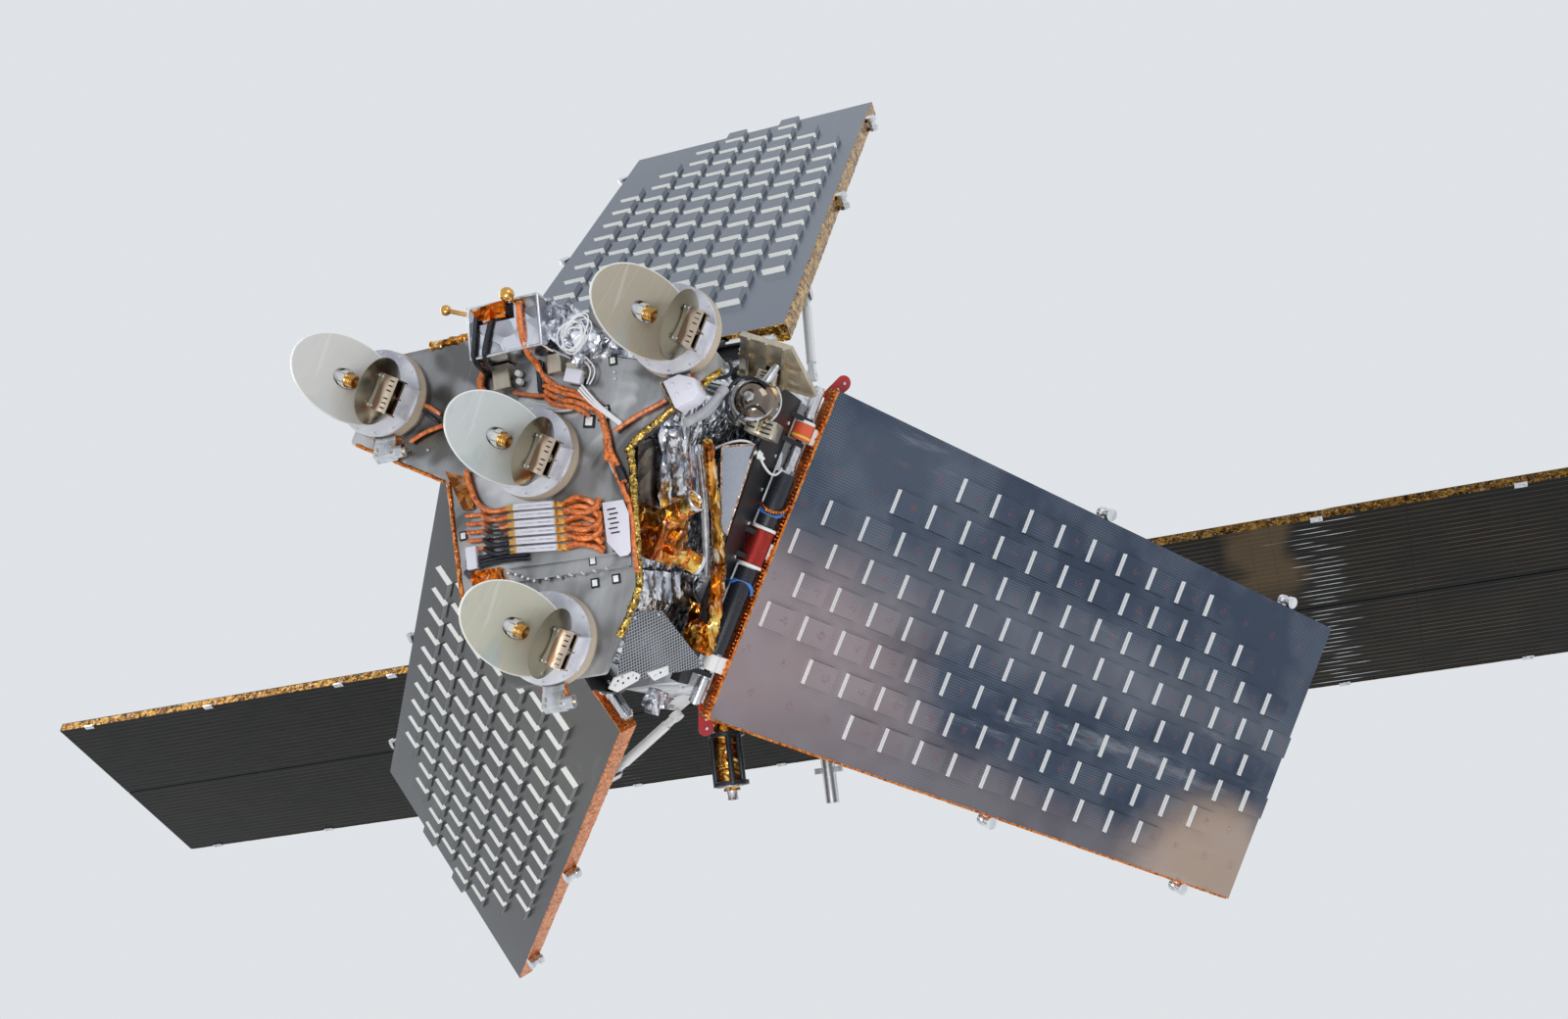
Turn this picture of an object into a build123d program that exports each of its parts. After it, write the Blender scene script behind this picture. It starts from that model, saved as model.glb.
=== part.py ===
"""Full-size low-orbit communications satellite: three-sided body tower, nadir deck with four steerable
mirror antennas, three hinged phased-array panels and two rotating solar wings. Millimetres, +Z towards
zenith, +X along the flight direction, origin in the middle of the top plate, which is its held interface."""
import os
from math import atan2, cos, degrees, hypot, radians, sin, sqrt, tan

from build123d import *

os.makedirs("parts", exist_ok=True)

# Heights along the body axis, from the top plate down
HINGE_Z = -3400.0  # plane where the array panels' active faces begin
DECK_Z = HINGE_Z - 600.0  # outer face of the nadir deck
DECK_THICK = 25.0
BAY_TOP_Z = HINGE_Z - 75.0
TOP_PLATE_THICK = 12.0

# Body tower: a three-sided prism with its corners cut off, and grooves where its skins meet
FACE_AZIMUTHS = (0, 120, -120)
CORNER_AZIMUTHS = (60, 180, -60)
CORE_FACE_R = 290.0
CORE_CORNER_R = 470.0
BAY_TOP_FACE_R, BAY_TOP_CORNER_R = 262.0, 440.0
BAY_DECK_FACE_R, BAY_DECK_CORNER_R = 190.0, 330.0
SIDE_NAMES = {0: "fore", 120: "port", -120: "starboard"}
SKIN_JOINTS_Z = (-620.0, -1400.0, -2180.0, -2960.0)
JOINT_WIDTH, JOINT_DEPTH = 6.0, 3.0
PLATE_LIP = 8.0
ADAPTER_PCD, ADAPTER_HOLE_R, ADAPTER_HOLES = 420.0, 5.5, 6

# Array panels, in a frame on each panel: s along its length, w across, n out of the active face
PANEL_LENGTH, PANEL_WIDTH, PANEL_THICK = 1880.0, 860.0, 42.0
PANEL_LEAN = 40.0
PANEL_FACE_R = 379.0
TILE_LENGTH, TILE_WIDTH, TILE_HEIGHT = 80.0, 64.0, 18.0
TILE_PITCH, TILE_ROW_PITCH = 116.7, 95.6
FIRST_TILE_S = 36.5
# Tile rows across the panel: (first tile's place in the row, tiles in the row)
TILE_ROWS = ((3.5, 9), (2, 12), (0.5, 15), (0, 16), (0.5, 15), (0, 16), (1.5, 13), (3, 10))
RIB_W, RIB_HEIGHT, RIB_WIDTH, RIB_END = (-300.0, 0.0, 300.0), 12.0, 26.0, 60.0
SPOOL_PLACES = (0.5, 0.9)
SPOOL_R, SPOOL_HEIGHT, SPOOL_WAIST = 17.0, 46.0, 5.0

# Array hinges: a lug pair on the body beam, an arm on the panel, and a damper beside the outer lugs
HINGE_S, HINGE_N = -38.0, -21.0
# Knuckles: (place across the panel, radius)
KNUCKLES = ((-300.0, 20.0), (0.0, 26.0), (300.0, 20.0))
ARM_WIDTH, ARM_THICK = 40.0, 24.0
PIN_R, PIN_GAP = 8.0, 0.2
LUG_R, LUG_THICK, LUG_GAP = 15.0, 12.0, 5.0
BEAM_R_OUT, BEAM_LOW, BEAM_HIGH, BEAM_LENGTH = 318.0, -100.0, -46.0, 740.0
GUSSET_THICK, GUSSET_DEPTH = 5.0, 110.0
# Dampers on the hinge line: (near end, far end, radius)
DAMPERS = ((-420.0, -337.0, 15.0), (-263.0, -198.0, 17.0), (337.0, 410.0, 14.0))

# Struts between the body corners and the backs of the array panels
STRUT_W = 412.0
STRUT_R, STRUT_EYE_R, STRUT_EYE_WIDTH, STRUT_NECK = 13.0, 17.0, 20.0, 36.0
STRUT_BORE_R, STRUT_PIN_R = 6.2, 6.0
STRUT_PIVOT_S, STRUT_PIVOT_N = 340.0, -PANEL_THICK - 24.0
STRUT_FOOT_R, STRUT_FOOT_Z = 316.0, 270.0
STRUT_PLATE_THICK, STRUT_PLATE_R, STRUT_PLATE_LOW, STRUT_PLATE_HIGH = 9.0, 311.0, 215.0, 310.0
EAR_THICK, EAR_GAP = 6.0, 2.0

# Solar wings, in a frame on the wing's axis: y outwards, c along the chord
WING_AXIS_X, WING_AXIS_Z = -117.0, -90.0
WING_ROOT_Y, WING_TIP_Y = 500.0, 4115.0
WING_CHORD, WING_THICK, WING_SEAM = 1100.0, 40.0, 6.0
WING_PITCH = -59.4
WING_HINGE_Y = (760.0, 1600.0, 2440.0, 3280.0, 3980.0)
DRIVE_R, DRIVE_END_Y, DRIVE_GAP = 60.0, 350.0, 0.5
SHAFT_R, SHAFT_END_Y = 24.0, 420.0
YOKE_HALF, YOKE_WIDTH, YOKE_ARM_R = 300.0, 30.0, 11.0

# Steerable antennas, in a frame on the deck: x along the feed, z away from the deck
ANTENNA_RADIUS = 410.5
# Antenna sites: (azimuth about the body axis, 1 on the ring or 0 in the middle)
ANTENNA_SITES = {"fore_port": (60, 1), "fore_starboard": (-60, 1), "aft": (180, 1), "centre": (0, 0)}
FEED_AZIMUTH = 120.0
FEED_HEIGHT = 130.0
BASE_R, BASE_TOP_R, BASE_HEIGHT = 103.0, 96.0, 22.0
DISC_R, DISC_LOW, DISC_HIGH = 100.0, 27.0, 33.0
WINDOW_R, WINDOW_TURN, WINDOW_SIZE = 76.0, -120.0, (20.0, 38.0)
HUB_R = 40.0
DRIVE_TURN = -60.0
MIRROR_X, MIRROR_R, MIRROR_THICK = -27.0, 91.0, 4.0
MIRROR_ROLL = 15.0
MIRROR_HUB_R, MIRROR_HOLE_R = 27.0, 21.5
FEED_TUBE_R, FEED_HORN_R, FEED_COLLAR_R = 15.0, 14.0, 18.0
DISH_R, DISH_DEPTH, DISH_RIM_X, DISH_WALL = 77.0, 20.0, 62.0, 2.0
BRACKET_W, BRACKET_END_X = 39.0, 112.0
POST_X = 92.0

# Nadir deck equipment, heights measured out of the deck
FOIL_BOX_LOW, FOIL_BOX_HIGH, FOIL_BOX_HEIGHT = (215.0, -95.0), (332.0, 75.0), 85.0
# Stub antennas: (foot x, y, height), (ball x, y, height), ball radius
STUB_ANTENNAS = (((322.0, 20.0, 84.0), (330.0, 21.0, 122.0), 16.0), ((316.0, -84.0, 78.0), (336.0, -140.0, 96.0), 12.0))
# Deck boxes: (low x, low y, high x, high y, height)
DECK_BOXES = ((156.0, -76.0, 212.0, -34.0, 28.0), (168.0, 54.0, 212.0, 88.0, 22.0), (146.0, 98.0, 186.0, 138.0, 20.0))
MODULES, MODULE_X, MODULE_PITCH, MODULE_TURN = 6, -117.0, 19.0, -6.0
MODULE_LENGTH, MODULE_WIDTH, MODULE_HEIGHT = 98.0, 14.0, 18.0
CONNECTOR_LENGTH, CONNECTOR_SIZE = 18.0, 11.0
CHANNEL_START, CHANNEL_END, CHANNEL_WIDTH, CHANNEL_HEIGHT = (-258.0, -84.0), (-270.0, 198.0), 34.0, 15.0
EDGE_PLATE = (-246.0, 158.0, -150.0, 196.0, 5.0)
# Deck cables: (points x, y, height), bundle radius
DECK_CABLES = (
    (((318, 36, 93), (286, 32, 93), (240, 34, 93), (207, 33, 70), (196, 33, 24), (174, 34, 11), (140, 64, 11), (116, 114, 11),
      (88, 146, 11), (44, 170, 11), (-2, 176, 11), (-30, 178, 11), (-62, 191, 11), (-103, 203, 11)), 7.0),
    (((146, -34, 11), (136, -6, 11), (126, 24, 11), (122, 54, 11)), 5.0),
    (((14, 194, 11), (28, 226, 11), (40, 256, 11), (50, 292, 11), (58, 318, 11)), 5.0),
    (((84, -298, 11), (92, -280, 11), (100, -252, 11), (106, -214, 11)), 5.0),
    (((-8, -166, 11), (-42, -160, 11), (-78, -150, 11), (-102, -132, 11)), 6.0),
    (((-232, -184, 12), (-262, -160, 12), (-284, -124, 12), (-290, -80, 12)), 9.0),
)
# Module cables, from a connector: (out along the module, sideways)
MODULE_CABLE_PORT = ((8.0, 0.0), (36.0, 5.0), (64.0, 2.0), (88.0, -8.0))
MODULE_CABLE_STARBOARD = ((8.0, 0.0), (40.0, -4.0), (72.0, -9.0), (100.0, -8.0))

# Port side equipment, in a frame on the face: r out of the body, t along the hinge line, z from the hinge plane
SENSOR_LOW, SENSOR_HIGH = (198.0, 12.0, -470.0), (286.0, 118.0, -340.0)
# Horizon sensors: (foot r, t, z), (lens end r, t, z)
SENSORS = (((262.0, 36.0, -430.0), (330.0, -34.0, -458.0)), ((262.0, 84.0, -372.0), (330.0, 92.0, -304.0)))
SENSOR_R, LENS_R = 24.0, 18.0
# Service lines: (points r, t, z), radius
SERVICE_LINES = (
    (((309, -165, -465), (317, -88, -364), (325, -10, -272), (332, 74, -186)), 15.0),
    (((332, 74, -186), (342, 150, -140), (346, 280, -78)), 20.0),
    (((275, -142, -408), (284, -81, -339), (297, 37, -226), (302, 108, -158)), 9.0),
    (((290, -187, -560), (297, -215, -524), (301, -250, -500), (306, -286, -480)), 9.0),
    (((236, -170, -520), (240, -100, -440), (250, -30, -350)), 26.0),
)
# Screens beside the port face, in a frame on their slope: t along the hinge line, u up the slope
SCREEN_R, SCREEN_Z, SCREEN_SLOPE, SCREEN_THICK = 240.0, -420.0, 2.6, 3.0
GRID_POINTS = ((246.0, 43.0), (220.0, 130.0), (311.0, 340.0), (408.0, 92.0), (383.0, 72.0))
MESH_R, MESH_Z, MESH_SLOPE = 250.0, -420.0, 4.0
MESH_POINTS = ((-179.0, 114.0), (-220.0, 234.0), (5.0, 262.0), (-5.0, 225.0))
# Corner brackets on the grid screen's slope: outlines (t, u)
BRACKET_THICK = 5.0
CORNER_BRACKETS = (
    ((426.0, 62.0), (399.0, 66.0), (372.0, 112.0), (374.0, 138.0), (388.0, 140.0), (428.0, 90.0)),
    ((366.0, 158.0), (336.0, 214.0), (354.0, 226.0), (378.0, 190.0)),
)

# Steerable crosslink antenna by the port fore corner
GIMBAL_X, GIMBAL_Y, GIMBAL_LOW, GIMBAL_HIGH, GIMBAL_R = 82.0, 448.0, HINGE_Z - 432.0, HINGE_Z - 372.0, 42.0
FIN_START, FIN_AZIMUTH, FIN_TILT = (228.0, 448.0, HINGE_Z - 440.0), 118.0, 42.0
FIN_LENGTH, FIN_DEPTH, FIN_THICK, FIN_TIP = 195.0, 104.0, 12.0, 70.0

# Equipment behind the aft edge of the tower: (height above the hinge plane, end x, radius)
THRUSTER_Z, THRUSTER_END_X, THRUSTER_R, NOZZLE_END_X, NOZZLE_R = 450.0, -700.0, 36.0, -738.0, 10.0
CANISTER_Z, CANISTER_END_X, CANISTER_R = 1400.0, -735.0, 22.0


def write(name, shape):
    """Write one sub-part to its own file."""
    shape.label = name
    export_step(shape, f"parts/{name}.step")


def block(low, high):
    """Box between two opposite corners."""
    size = [b - a for a, b in zip(low, high)]
    return Pos(*low) * Box(*size, align=(Align.MIN, Align.MIN, Align.MIN))


def turned(shape, azimuth):
    """The shape turned about the body axis."""
    return Rot(0, 0, azimuth) * shape


def group(pieces):
    """Separate solids of one sub-part."""
    return Compound([solid for piece in pieces for solid in piece.solids()])


def rod(start, end, radius):
    """Round bar between two points."""
    a, b = Vector(*start), Vector(*end)
    plane = Plane(origin=a, z_dir=b - a)
    return plane.location * Cylinder(radius, (b - a).length, align=(Align.CENTER, Align.CENTER, Align.MIN))


def slab(plane, points, thick):
    """Flat plate with an outline on a plane, half its thickness to each side."""
    return extrude(plane * Polygon(*points, align=None), thick / 2, both=True)


def turning(points):
    """Revolve an outline of (height, radius) points about the X axis."""
    outline = Polyline(*[(x, r) for x, r in points], close=True)
    return revolve(make_face(outline), Axis.X)


def tube(points, radius):
    """Round tube through a route, with each bend as large as its two runs allow."""
    corners = [Vector(*p) for p in points]
    radii = []
    for before, here, after in zip(corners, corners[1:], corners[2:]):
        run = min((here - before).length, (after - here).length)
        turn = radians((here - before).get_angle(after - here))
        radii.append(0.45 * run / tan(turn / 2))
    path = FilletPolyline(*corners, radius=radii)
    section = Plane(origin=corners[0], z_dir=corners[1] - corners[0]) * Circle(radius)
    return sweep(section, path)


def cut_triangle(face_r, corner_r, z):
    """Three-sided outline with cut corners: six points, in order round the axis."""
    half = (corner_r - face_r / 2) / sin(radians(60))
    points = []
    for azimuth in FACE_AZIMUTHS:
        for w in (-half, half):
            a = radians(azimuth)
            points.append((face_r * cos(a) - w * sin(a), face_r * sin(a) + w * cos(a)))
    return Plane.XY.offset(z) * Polygon(*points, align=None)


def panel_place():
    """The fore panel's frame: x along its length, z out of the active face, y towards -Y."""
    lean = radians(PANEL_LEAN)
    return Plane(origin=(PANEL_FACE_R, 0, HINGE_Z), x_dir=(sin(lean), 0, cos(lean)),
                 z_dir=(cos(lean), 0, -sin(lean))).location


def panel_point(s, n, w=0.0):
    """A point given on the fore panel, in the part's frame."""
    lean = radians(PANEL_LEAN)
    return (PANEL_FACE_R + s * sin(lean) + n * cos(lean), w, HINGE_Z + s * cos(lean) - n * sin(lean))


HINGE_AXIS = panel_point(HINGE_S, HINGE_N)


def core_tower():
    """Three-sided closed tower with shallow grooves where its side skins meet."""
    tower = extrude(cut_triangle(CORE_FACE_R, CORE_CORNER_R, BAY_TOP_Z), -BAY_TOP_Z - TOP_PLATE_THICK)
    for z in SKIN_JOINTS_Z:
        outer = extrude(cut_triangle(CORE_FACE_R + 1, CORE_CORNER_R + 1, z), JOINT_WIDTH)
        inner = extrude(cut_triangle(CORE_FACE_R - JOINT_DEPTH, CORE_CORNER_R - JOINT_DEPTH, z), JOINT_WIDTH)
        tower -= outer - inner
    return tower


def top_plate():
    """Closing plate with the ring of adapter bolt holes."""
    outline = cut_triangle(CORE_FACE_R + PLATE_LIP, CORE_CORNER_R + PLATE_LIP, -TOP_PLATE_THICK)
    plate = extrude(outline, TOP_PLATE_THICK)
    for k in range(ADAPTER_HOLES):
        hole = Pos(ADAPTER_PCD / 2, 0, 0) * Cylinder(ADAPTER_HOLE_R, 4 * TOP_PLATE_THICK)
        plate -= turned(hole, 360 / ADAPTER_HOLES * (k + 0.5))
    return plate


def equipment_bay():
    """Tapered bay between the tower and the deck."""
    low = cut_triangle(BAY_DECK_FACE_R, BAY_DECK_CORNER_R, DECK_Z + DECK_THICK)
    high = cut_triangle(BAY_TOP_FACE_R, BAY_TOP_CORNER_R, BAY_TOP_Z)
    return loft([low.face(), high.face()], ruled=True)


def nadir_deck():
    """Flat plate with an arm under each outer antenna and a straight waist between the aft arm and the others."""
    half = ((295, 0), (295, 349), (112, 455), (-25, 218), (-330, 205), (-500, 107))
    points = list(half) + [(x, -y) for x, y in reversed(half) if y > 0]
    plate = extrude(Plane.XY.offset(DECK_Z) * Polygon(*points, align=None), DECK_THICK)
    return fillet(plate.edges().filter_by(Axis.Z), 10)


def hinge_lug(w):
    """Lug plate from the beam's outer face up to a round end on the hinge line, thick along the line."""
    x, _, z = HINGE_AXIS
    foot_x = BEAM_R_OUT - 4
    foot_low, foot_high = HINGE_Z + BEAM_LOW + 20, HINGE_Z + BEAM_HIGH - 4
    profile = make_hull([*Circle(LUG_R).locate(Pos(x, z)).edges(), Edge.make_line((foot_x, foot_low), (foot_x, foot_high))])
    lug = extrude(Plane.XZ.offset(-w) * profile, LUG_THICK / 2, both=True)
    return lug


def hinge_beam():
    """Box beam on a body face with a tapered gusset, and a pair of lugs and a pin at each hinge arm."""
    half = BEAM_LENGTH / 2
    beam = block((CORE_FACE_R, -half, HINGE_Z + BEAM_LOW), (BEAM_R_OUT, half, HINGE_Z + BEAM_HIGH))
    x, _, z = HINGE_AXIS
    low = HINGE_Z + BEAM_LOW
    gusset = ((-half, low), (half, low), (half, low - 12), (-half, low - GUSSET_DEPTH))
    beam += slab(Plane.YZ.offset(BEAM_R_OUT - GUSSET_THICK / 2), gusset, GUSSET_THICK)
    reach = ARM_WIDTH / 2 + LUG_GAP + LUG_THICK
    for w, _ in KNUCKLES:
        for side in (-1, 1):
            beam += hinge_lug(w + side * (reach - LUG_THICK / 2))
        beam += rod((x, w - reach, z), (x, w + reach, z), PIN_R)
    return beam


def hinge_damper(near, far, radius):
    """Damper body on the hinge line with a stepped collar at each end."""
    x, _, z = HINGE_AXIS
    length = far - near
    outline = [(0, 0), (0, radius - 3), (5, radius - 3), (5, radius), (length - 12, radius), (length - 12, radius + 2),
               (length - 4, radius + 2), (length - 4, radius - 4), (length, radius - 4), (length, 0)]
    return Pos(x, near, z) * Rot(0, 0, 90) * turning(outline)


def array_panel():
    """Honeycomb panel with its raised tiles on the active face and ribs on the back."""
    panel = block((0, -PANEL_WIDTH / 2, -PANEL_THICK), (PANEL_LENGTH, PANEL_WIDTH / 2, 0))
    tiles = []
    for row, (first, count) in enumerate(TILE_ROWS):
        w = ((len(TILE_ROWS) - 1) / 2 - row) * TILE_ROW_PITCH
        for k in range(count):
            s = FIRST_TILE_S + (first + k) * TILE_PITCH
            tiles.append(block((s, w - TILE_WIDTH / 2, 0), (s + TILE_LENGTH, w + TILE_WIDTH / 2, TILE_HEIGHT)))
    panel = panel.fuse(*tiles)
    back = -PANEL_THICK
    for w in RIB_W:
        panel += block((RIB_END, w - RIB_WIDTH / 2, back - RIB_HEIGHT), (PANEL_LENGTH - RIB_END, w + RIB_WIDTH / 2, back))
    return panel_place() * panel


def array_hinge_arms():
    """Three arms from the panel's edge to the hinge pins, each with a round knuckle."""
    arms = []
    for w, radius in KNUCKLES:
        near, far = w - ARM_WIDTH / 2, w + ARM_WIDTH / 2
        arm = block((HINGE_S, near, HINGE_N - ARM_THICK / 2), (0, far, HINGE_N + ARM_THICK / 2))
        arm += rod((HINGE_S, near, HINGE_N), (HINGE_S, far, HINGE_N), radius)
        arm -= rod((HINGE_S, near - 1, HINGE_N), (HINGE_S, far + 1, HINGE_N), PIN_R + PIN_GAP)
        arms.append(arm)
    return panel_place() * group(arms)


def array_spool(side, place):
    """Launch-lock spool on the panel's long edge: two flanges on a waist, and a bracket to the panel."""
    s, w, middle = place * PANEL_LENGTH, side * (PANEL_WIDTH / 2 + SPOOL_R), -PANEL_THICK / 2
    spool = Pos(s, w, middle) * Cylinder(SPOOL_R, SPOOL_HEIGHT)
    spool -= Pos(s, w, middle) * (Cylinder(SPOOL_R + 1, 20) - Cylinder(SPOOL_R - SPOOL_WAIST, 20))
    near, far = sorted((side * PANEL_WIDTH / 2, w))
    return spool + block((s - 8, near, middle - 8), (s + 8, far, middle + 8))


def strut_ears(side):
    """Two ears and a pin on the panel's back, for a strut's eye."""
    gap = STRUT_EYE_WIDTH / 2 + EAR_GAP
    ears = rod((STRUT_PIVOT_S, side * STRUT_W - gap, STRUT_PIVOT_N), (STRUT_PIVOT_S, side * STRUT_W + gap, STRUT_PIVOT_N),
               STRUT_PIN_R)
    for edge in (-1, 1):
        near, far = sorted((side * STRUT_W + edge * gap, side * STRUT_W + edge * (gap + EAR_THICK)))
        ears += block((STRUT_PIVOT_S - 15, near, STRUT_PIVOT_N - 9), (STRUT_PIVOT_S + 15, far, -PANEL_THICK))
    return ears


def array_spools():
    """Launch-lock spools on the panel's two long edges, and the strut pivot ears on its back."""
    pieces = [array_spool(side, place) for side in (-1, 1) for place in SPOOL_PLACES]
    return panel_place() * group(pieces + [strut_ears(side) for side in (-1, 1)])


def array_struts():
    """A pair of struts, each a tube with a flat neck and an eye at both ends; the panel's end turns on the ears' pin."""
    px, _, pz = panel_point(STRUT_PIVOT_S, STRUT_PIVOT_N)
    fx, fz = STRUT_FOOT_R, HINGE_Z + STRUT_FOOT_Z
    length, slope = hypot(fx - px, fz - pz), degrees(atan2(fz - pz, fx - px))
    strut = rod((STRUT_NECK, 0, 0), (length - STRUT_NECK, 0, 0), STRUT_R)
    half = STRUT_EYE_WIDTH / 2
    strut += block((0, -half + 2, -STRUT_EYE_R + 6), (length, half - 2, STRUT_EYE_R - 6))
    for end in (0, length):
        strut += rod((end, -half, 0), (end, half, 0), STRUT_EYE_R)
        strut -= rod((end, -2 * half, 0), (end, 2 * half, 0), STRUT_BORE_R)
    return group([Pos(px, side * STRUT_W, pz) * Rot(0, -slope, 0) * strut for side in (-1, 1)])


def strut_plates():
    """Upright plates at the body corners, beside each strut's foot."""
    inner = STRUT_W - STRUT_EYE_WIDTH / 2 - 5 - STRUT_PLATE_THICK
    plates = []
    for azimuth in FACE_AZIMUTHS:
        for side in (-1, 1):
            near, far = sorted((side * inner, side * (inner + STRUT_PLATE_THICK)))
            plate = block((240, near, HINGE_Z + STRUT_PLATE_LOW), (STRUT_PLATE_R, far, HINGE_Z + STRUT_PLATE_HIGH))
            plates.append(turned(plate, azimuth) - core_tower())
    return plates


def wing_place():
    """The port wing's frame: x outwards along its axis, y along the chord, z out of the cell face."""
    pitch = radians(WING_PITCH)
    return Plane(origin=(WING_AXIS_X, 0, WING_AXIS_Z), x_dir=(0, 1, 0), z_dir=(sin(pitch), 0, -cos(pitch))).location


def wing_panel(side):
    """One of the two long panels of a wing, beside the seam."""
    low, high = sorted((side * WING_SEAM / 2, side * WING_CHORD / 2))
    return wing_place() * block((WING_ROOT_Y, low, -WING_THICK / 2), (WING_TIP_Y, high, WING_THICK / 2))


def wing_boom():
    """Drive shaft, and the braced yoke that carries the two panels' inner ends."""
    boom = rod((DRIVE_END_Y + DRIVE_GAP, 0, 0), (WING_ROOT_Y - YOKE_WIDTH / 2, 0, 0), SHAFT_R)
    boom += block((WING_ROOT_Y - YOKE_WIDTH, -YOKE_HALF, -15), (WING_ROOT_Y, YOKE_HALF, 15))
    for side in (-1, 1):
        boom += rod((SHAFT_END_Y, 0, 0), (WING_ROOT_Y - YOKE_WIDTH / 2, side * (YOKE_HALF - 20), 0), YOKE_ARM_R)
    return wing_place() * boom


def wing_hinges():
    """Blocks across the seam on the back face."""
    blocks = []
    for y in WING_HINGE_Y:
        blocks.append(block((y - 30, -28, -WING_THICK / 2 - 14), (y + 30, 28, -WING_THICK / 2)))
    return wing_place() * group(blocks)


def wing_drive():
    """Housing of a wing's drive motor, with its bearing flange, on the body's side."""
    housing = rod((WING_AXIS_X, 200, WING_AXIS_Z), (WING_AXIS_X, DRIVE_END_Y, WING_AXIS_Z), DRIVE_R)
    housing += rod((WING_AXIS_X, 200, WING_AXIS_Z), (WING_AXIS_X, DRIVE_END_Y - 50, WING_AXIS_Z), DRIVE_R + 16)
    return housing - core_tower()


def antenna_place(site):
    """The frame of one steerable antenna on the deck."""
    azimuth, out = ANTENNA_SITES[site]
    a, feed = radians(azimuth), radians(FEED_AZIMUTH)
    return Plane(origin=(out * ANTENNA_RADIUS * cos(a), out * ANTENNA_RADIUS * sin(a), DECK_Z),
                 x_dir=(cos(feed), sin(feed), 0), z_dir=(0, 0, -1)).location


def antenna_base():
    """Fixed drum with sloping sides, a foot flange and the bearing hub."""
    outline = [(0, 0), (0, BASE_R), (5, BASE_R), (BASE_HEIGHT, BASE_TOP_R), (BASE_HEIGHT, HUB_R),
               (DISC_LOW - 0.3, HUB_R), (DISC_LOW - 0.3, 0)]
    return Rot(0, -90, 0) * turning(outline)


def antenna_drive():
    """Azimuth drive at the drum's side: a housing with sloping ends and its motor."""
    start = BASE_TOP_R - 6
    housing = slab(Plane.XZ, ((start, 0), (150, 0), (158, 12), (146, 33), (112, 20), (start, 17)), 52)
    motor = Pos(140, 34, 17) * Rot(90, 0, 0) * Cylinder(15, 20)
    return Rot(0, 0, DRIVE_TURN) * (housing + motor - antenna_base())


def antenna_turntable():
    """Disc with its window, the feed tube on its post with collar and horn, and the dish's post."""
    disc = Pos(0, 0, (DISC_LOW + DISC_HIGH) / 2) * Cylinder(DISC_R, DISC_HIGH - DISC_LOW)
    disc -= Rot(0, 0, WINDOW_TURN) * (Pos(WINDOW_R, 0, DISC_LOW) * Box(*WINDOW_SIZE, 30))
    top = FEED_HEIGHT + 18
    feed_post = ((-26, DISC_LOW), (26, DISC_LOW), (17, top - 8), (10, top), (-10, top), (-17, top - 8))
    disc += slab(Plane.YZ.offset(-92), feed_post, 10)
    dish_post = ((-38, DISC_LOW), (38, DISC_LOW), (30, FEED_HEIGHT - 30), (-30, FEED_HEIGHT - 30))
    disc += slab(Plane.YZ.offset(POST_X), dish_post, 8)
    disc += rod((-97, 0, FEED_HEIGHT), (MIRROR_X + 26, 0, FEED_HEIGHT), FEED_HORN_R)
    collar = Plane(origin=(MIRROR_X - 6, 0, FEED_HEIGHT), z_dir=(1, 0, 0)) * RegularPolygon(FEED_COLLAR_R, 6)
    disc += extrude(collar, 12)
    return disc - rod((MIRROR_X + 8, 0, FEED_HEIGHT), (MIRROR_X + 30, 0, FEED_HEIGHT), FEED_HORN_R - 3)


DISH_SPHERE_R = (DISH_R ** 2 + DISH_DEPTH ** 2) / (2 * DISH_DEPTH)
DISH_SPHERE_X = DISH_RIM_X + DISH_DEPTH - DISH_SPHERE_R


def on_sphere(radius, r):
    """The point of a sphere about the dish's centre of curvature, at a distance from the feed's line."""
    return (DISH_SPHERE_X + sqrt(radius ** 2 - r ** 2), r)


def dish_bowl():
    """Thin round bowl, open towards the mirror."""
    outer, inner = DISH_SPHERE_R, DISH_SPHERE_R - DISH_WALL
    back = ThreePointArc(on_sphere(outer, 0), on_sphere(outer, DISH_R / 2), on_sphere(outer, DISH_R))
    front = ThreePointArc(on_sphere(inner, DISH_R), on_sphere(inner, DISH_R / 2), on_sphere(inner, 0))
    return revolve(make_face([back, Line(back @ 1, front @ 0), front, Line(front @ 1, back @ 0)]), Axis.X)


def antenna_dish():
    """Small dish with its bracket: three ribs that carry two bent sheets, each with three slots."""
    low_edge, crown, high_edge = (DISH_RIM_X - 2, 38), (88, 36), (BRACKET_END_X, 20)
    outer = ThreePointArc(low_edge, crown, high_edge)
    inner = ThreePointArc((BRACKET_END_X - 1, 17), (87, 33), (DISH_RIM_X - 2, 35))
    section = make_face([outer, Line(outer @ 1, inner @ 0), inner, Line(inner @ 1, outer @ 0)])
    bracket = extrude(Plane.XZ * section, BRACKET_W, both=True)
    for y in (-31, -20, -9, 9, 20, 31):
        bracket -= Pos(104, y, 25) * Box(8, 3, 20)
    rib = ((DISH_RIM_X + 4, -26), (BRACKET_END_X - 4, -26), (BRACKET_END_X, 20), (88, 35.5), (DISH_RIM_X, 37))
    for y in (-BRACKET_W, 0, BRACKET_W):
        bracket += slab(Plane.XZ.offset(y), rib, 3)
    bracket += block((POST_X - 8, -BRACKET_W, -30), (POST_X + 8, BRACKET_W, -22))
    bracket += rod((DISH_RIM_X + DISH_DEPTH, 0, 0), (104, 0, 0), 9)
    bracket -= Pos(DISH_SPHERE_X, 0, 0) * Sphere(DISH_SPHERE_R - DISH_WALL / 2)
    return Pos(0, 0, FEED_HEIGHT) * (dish_bowl() + bracket)


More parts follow.
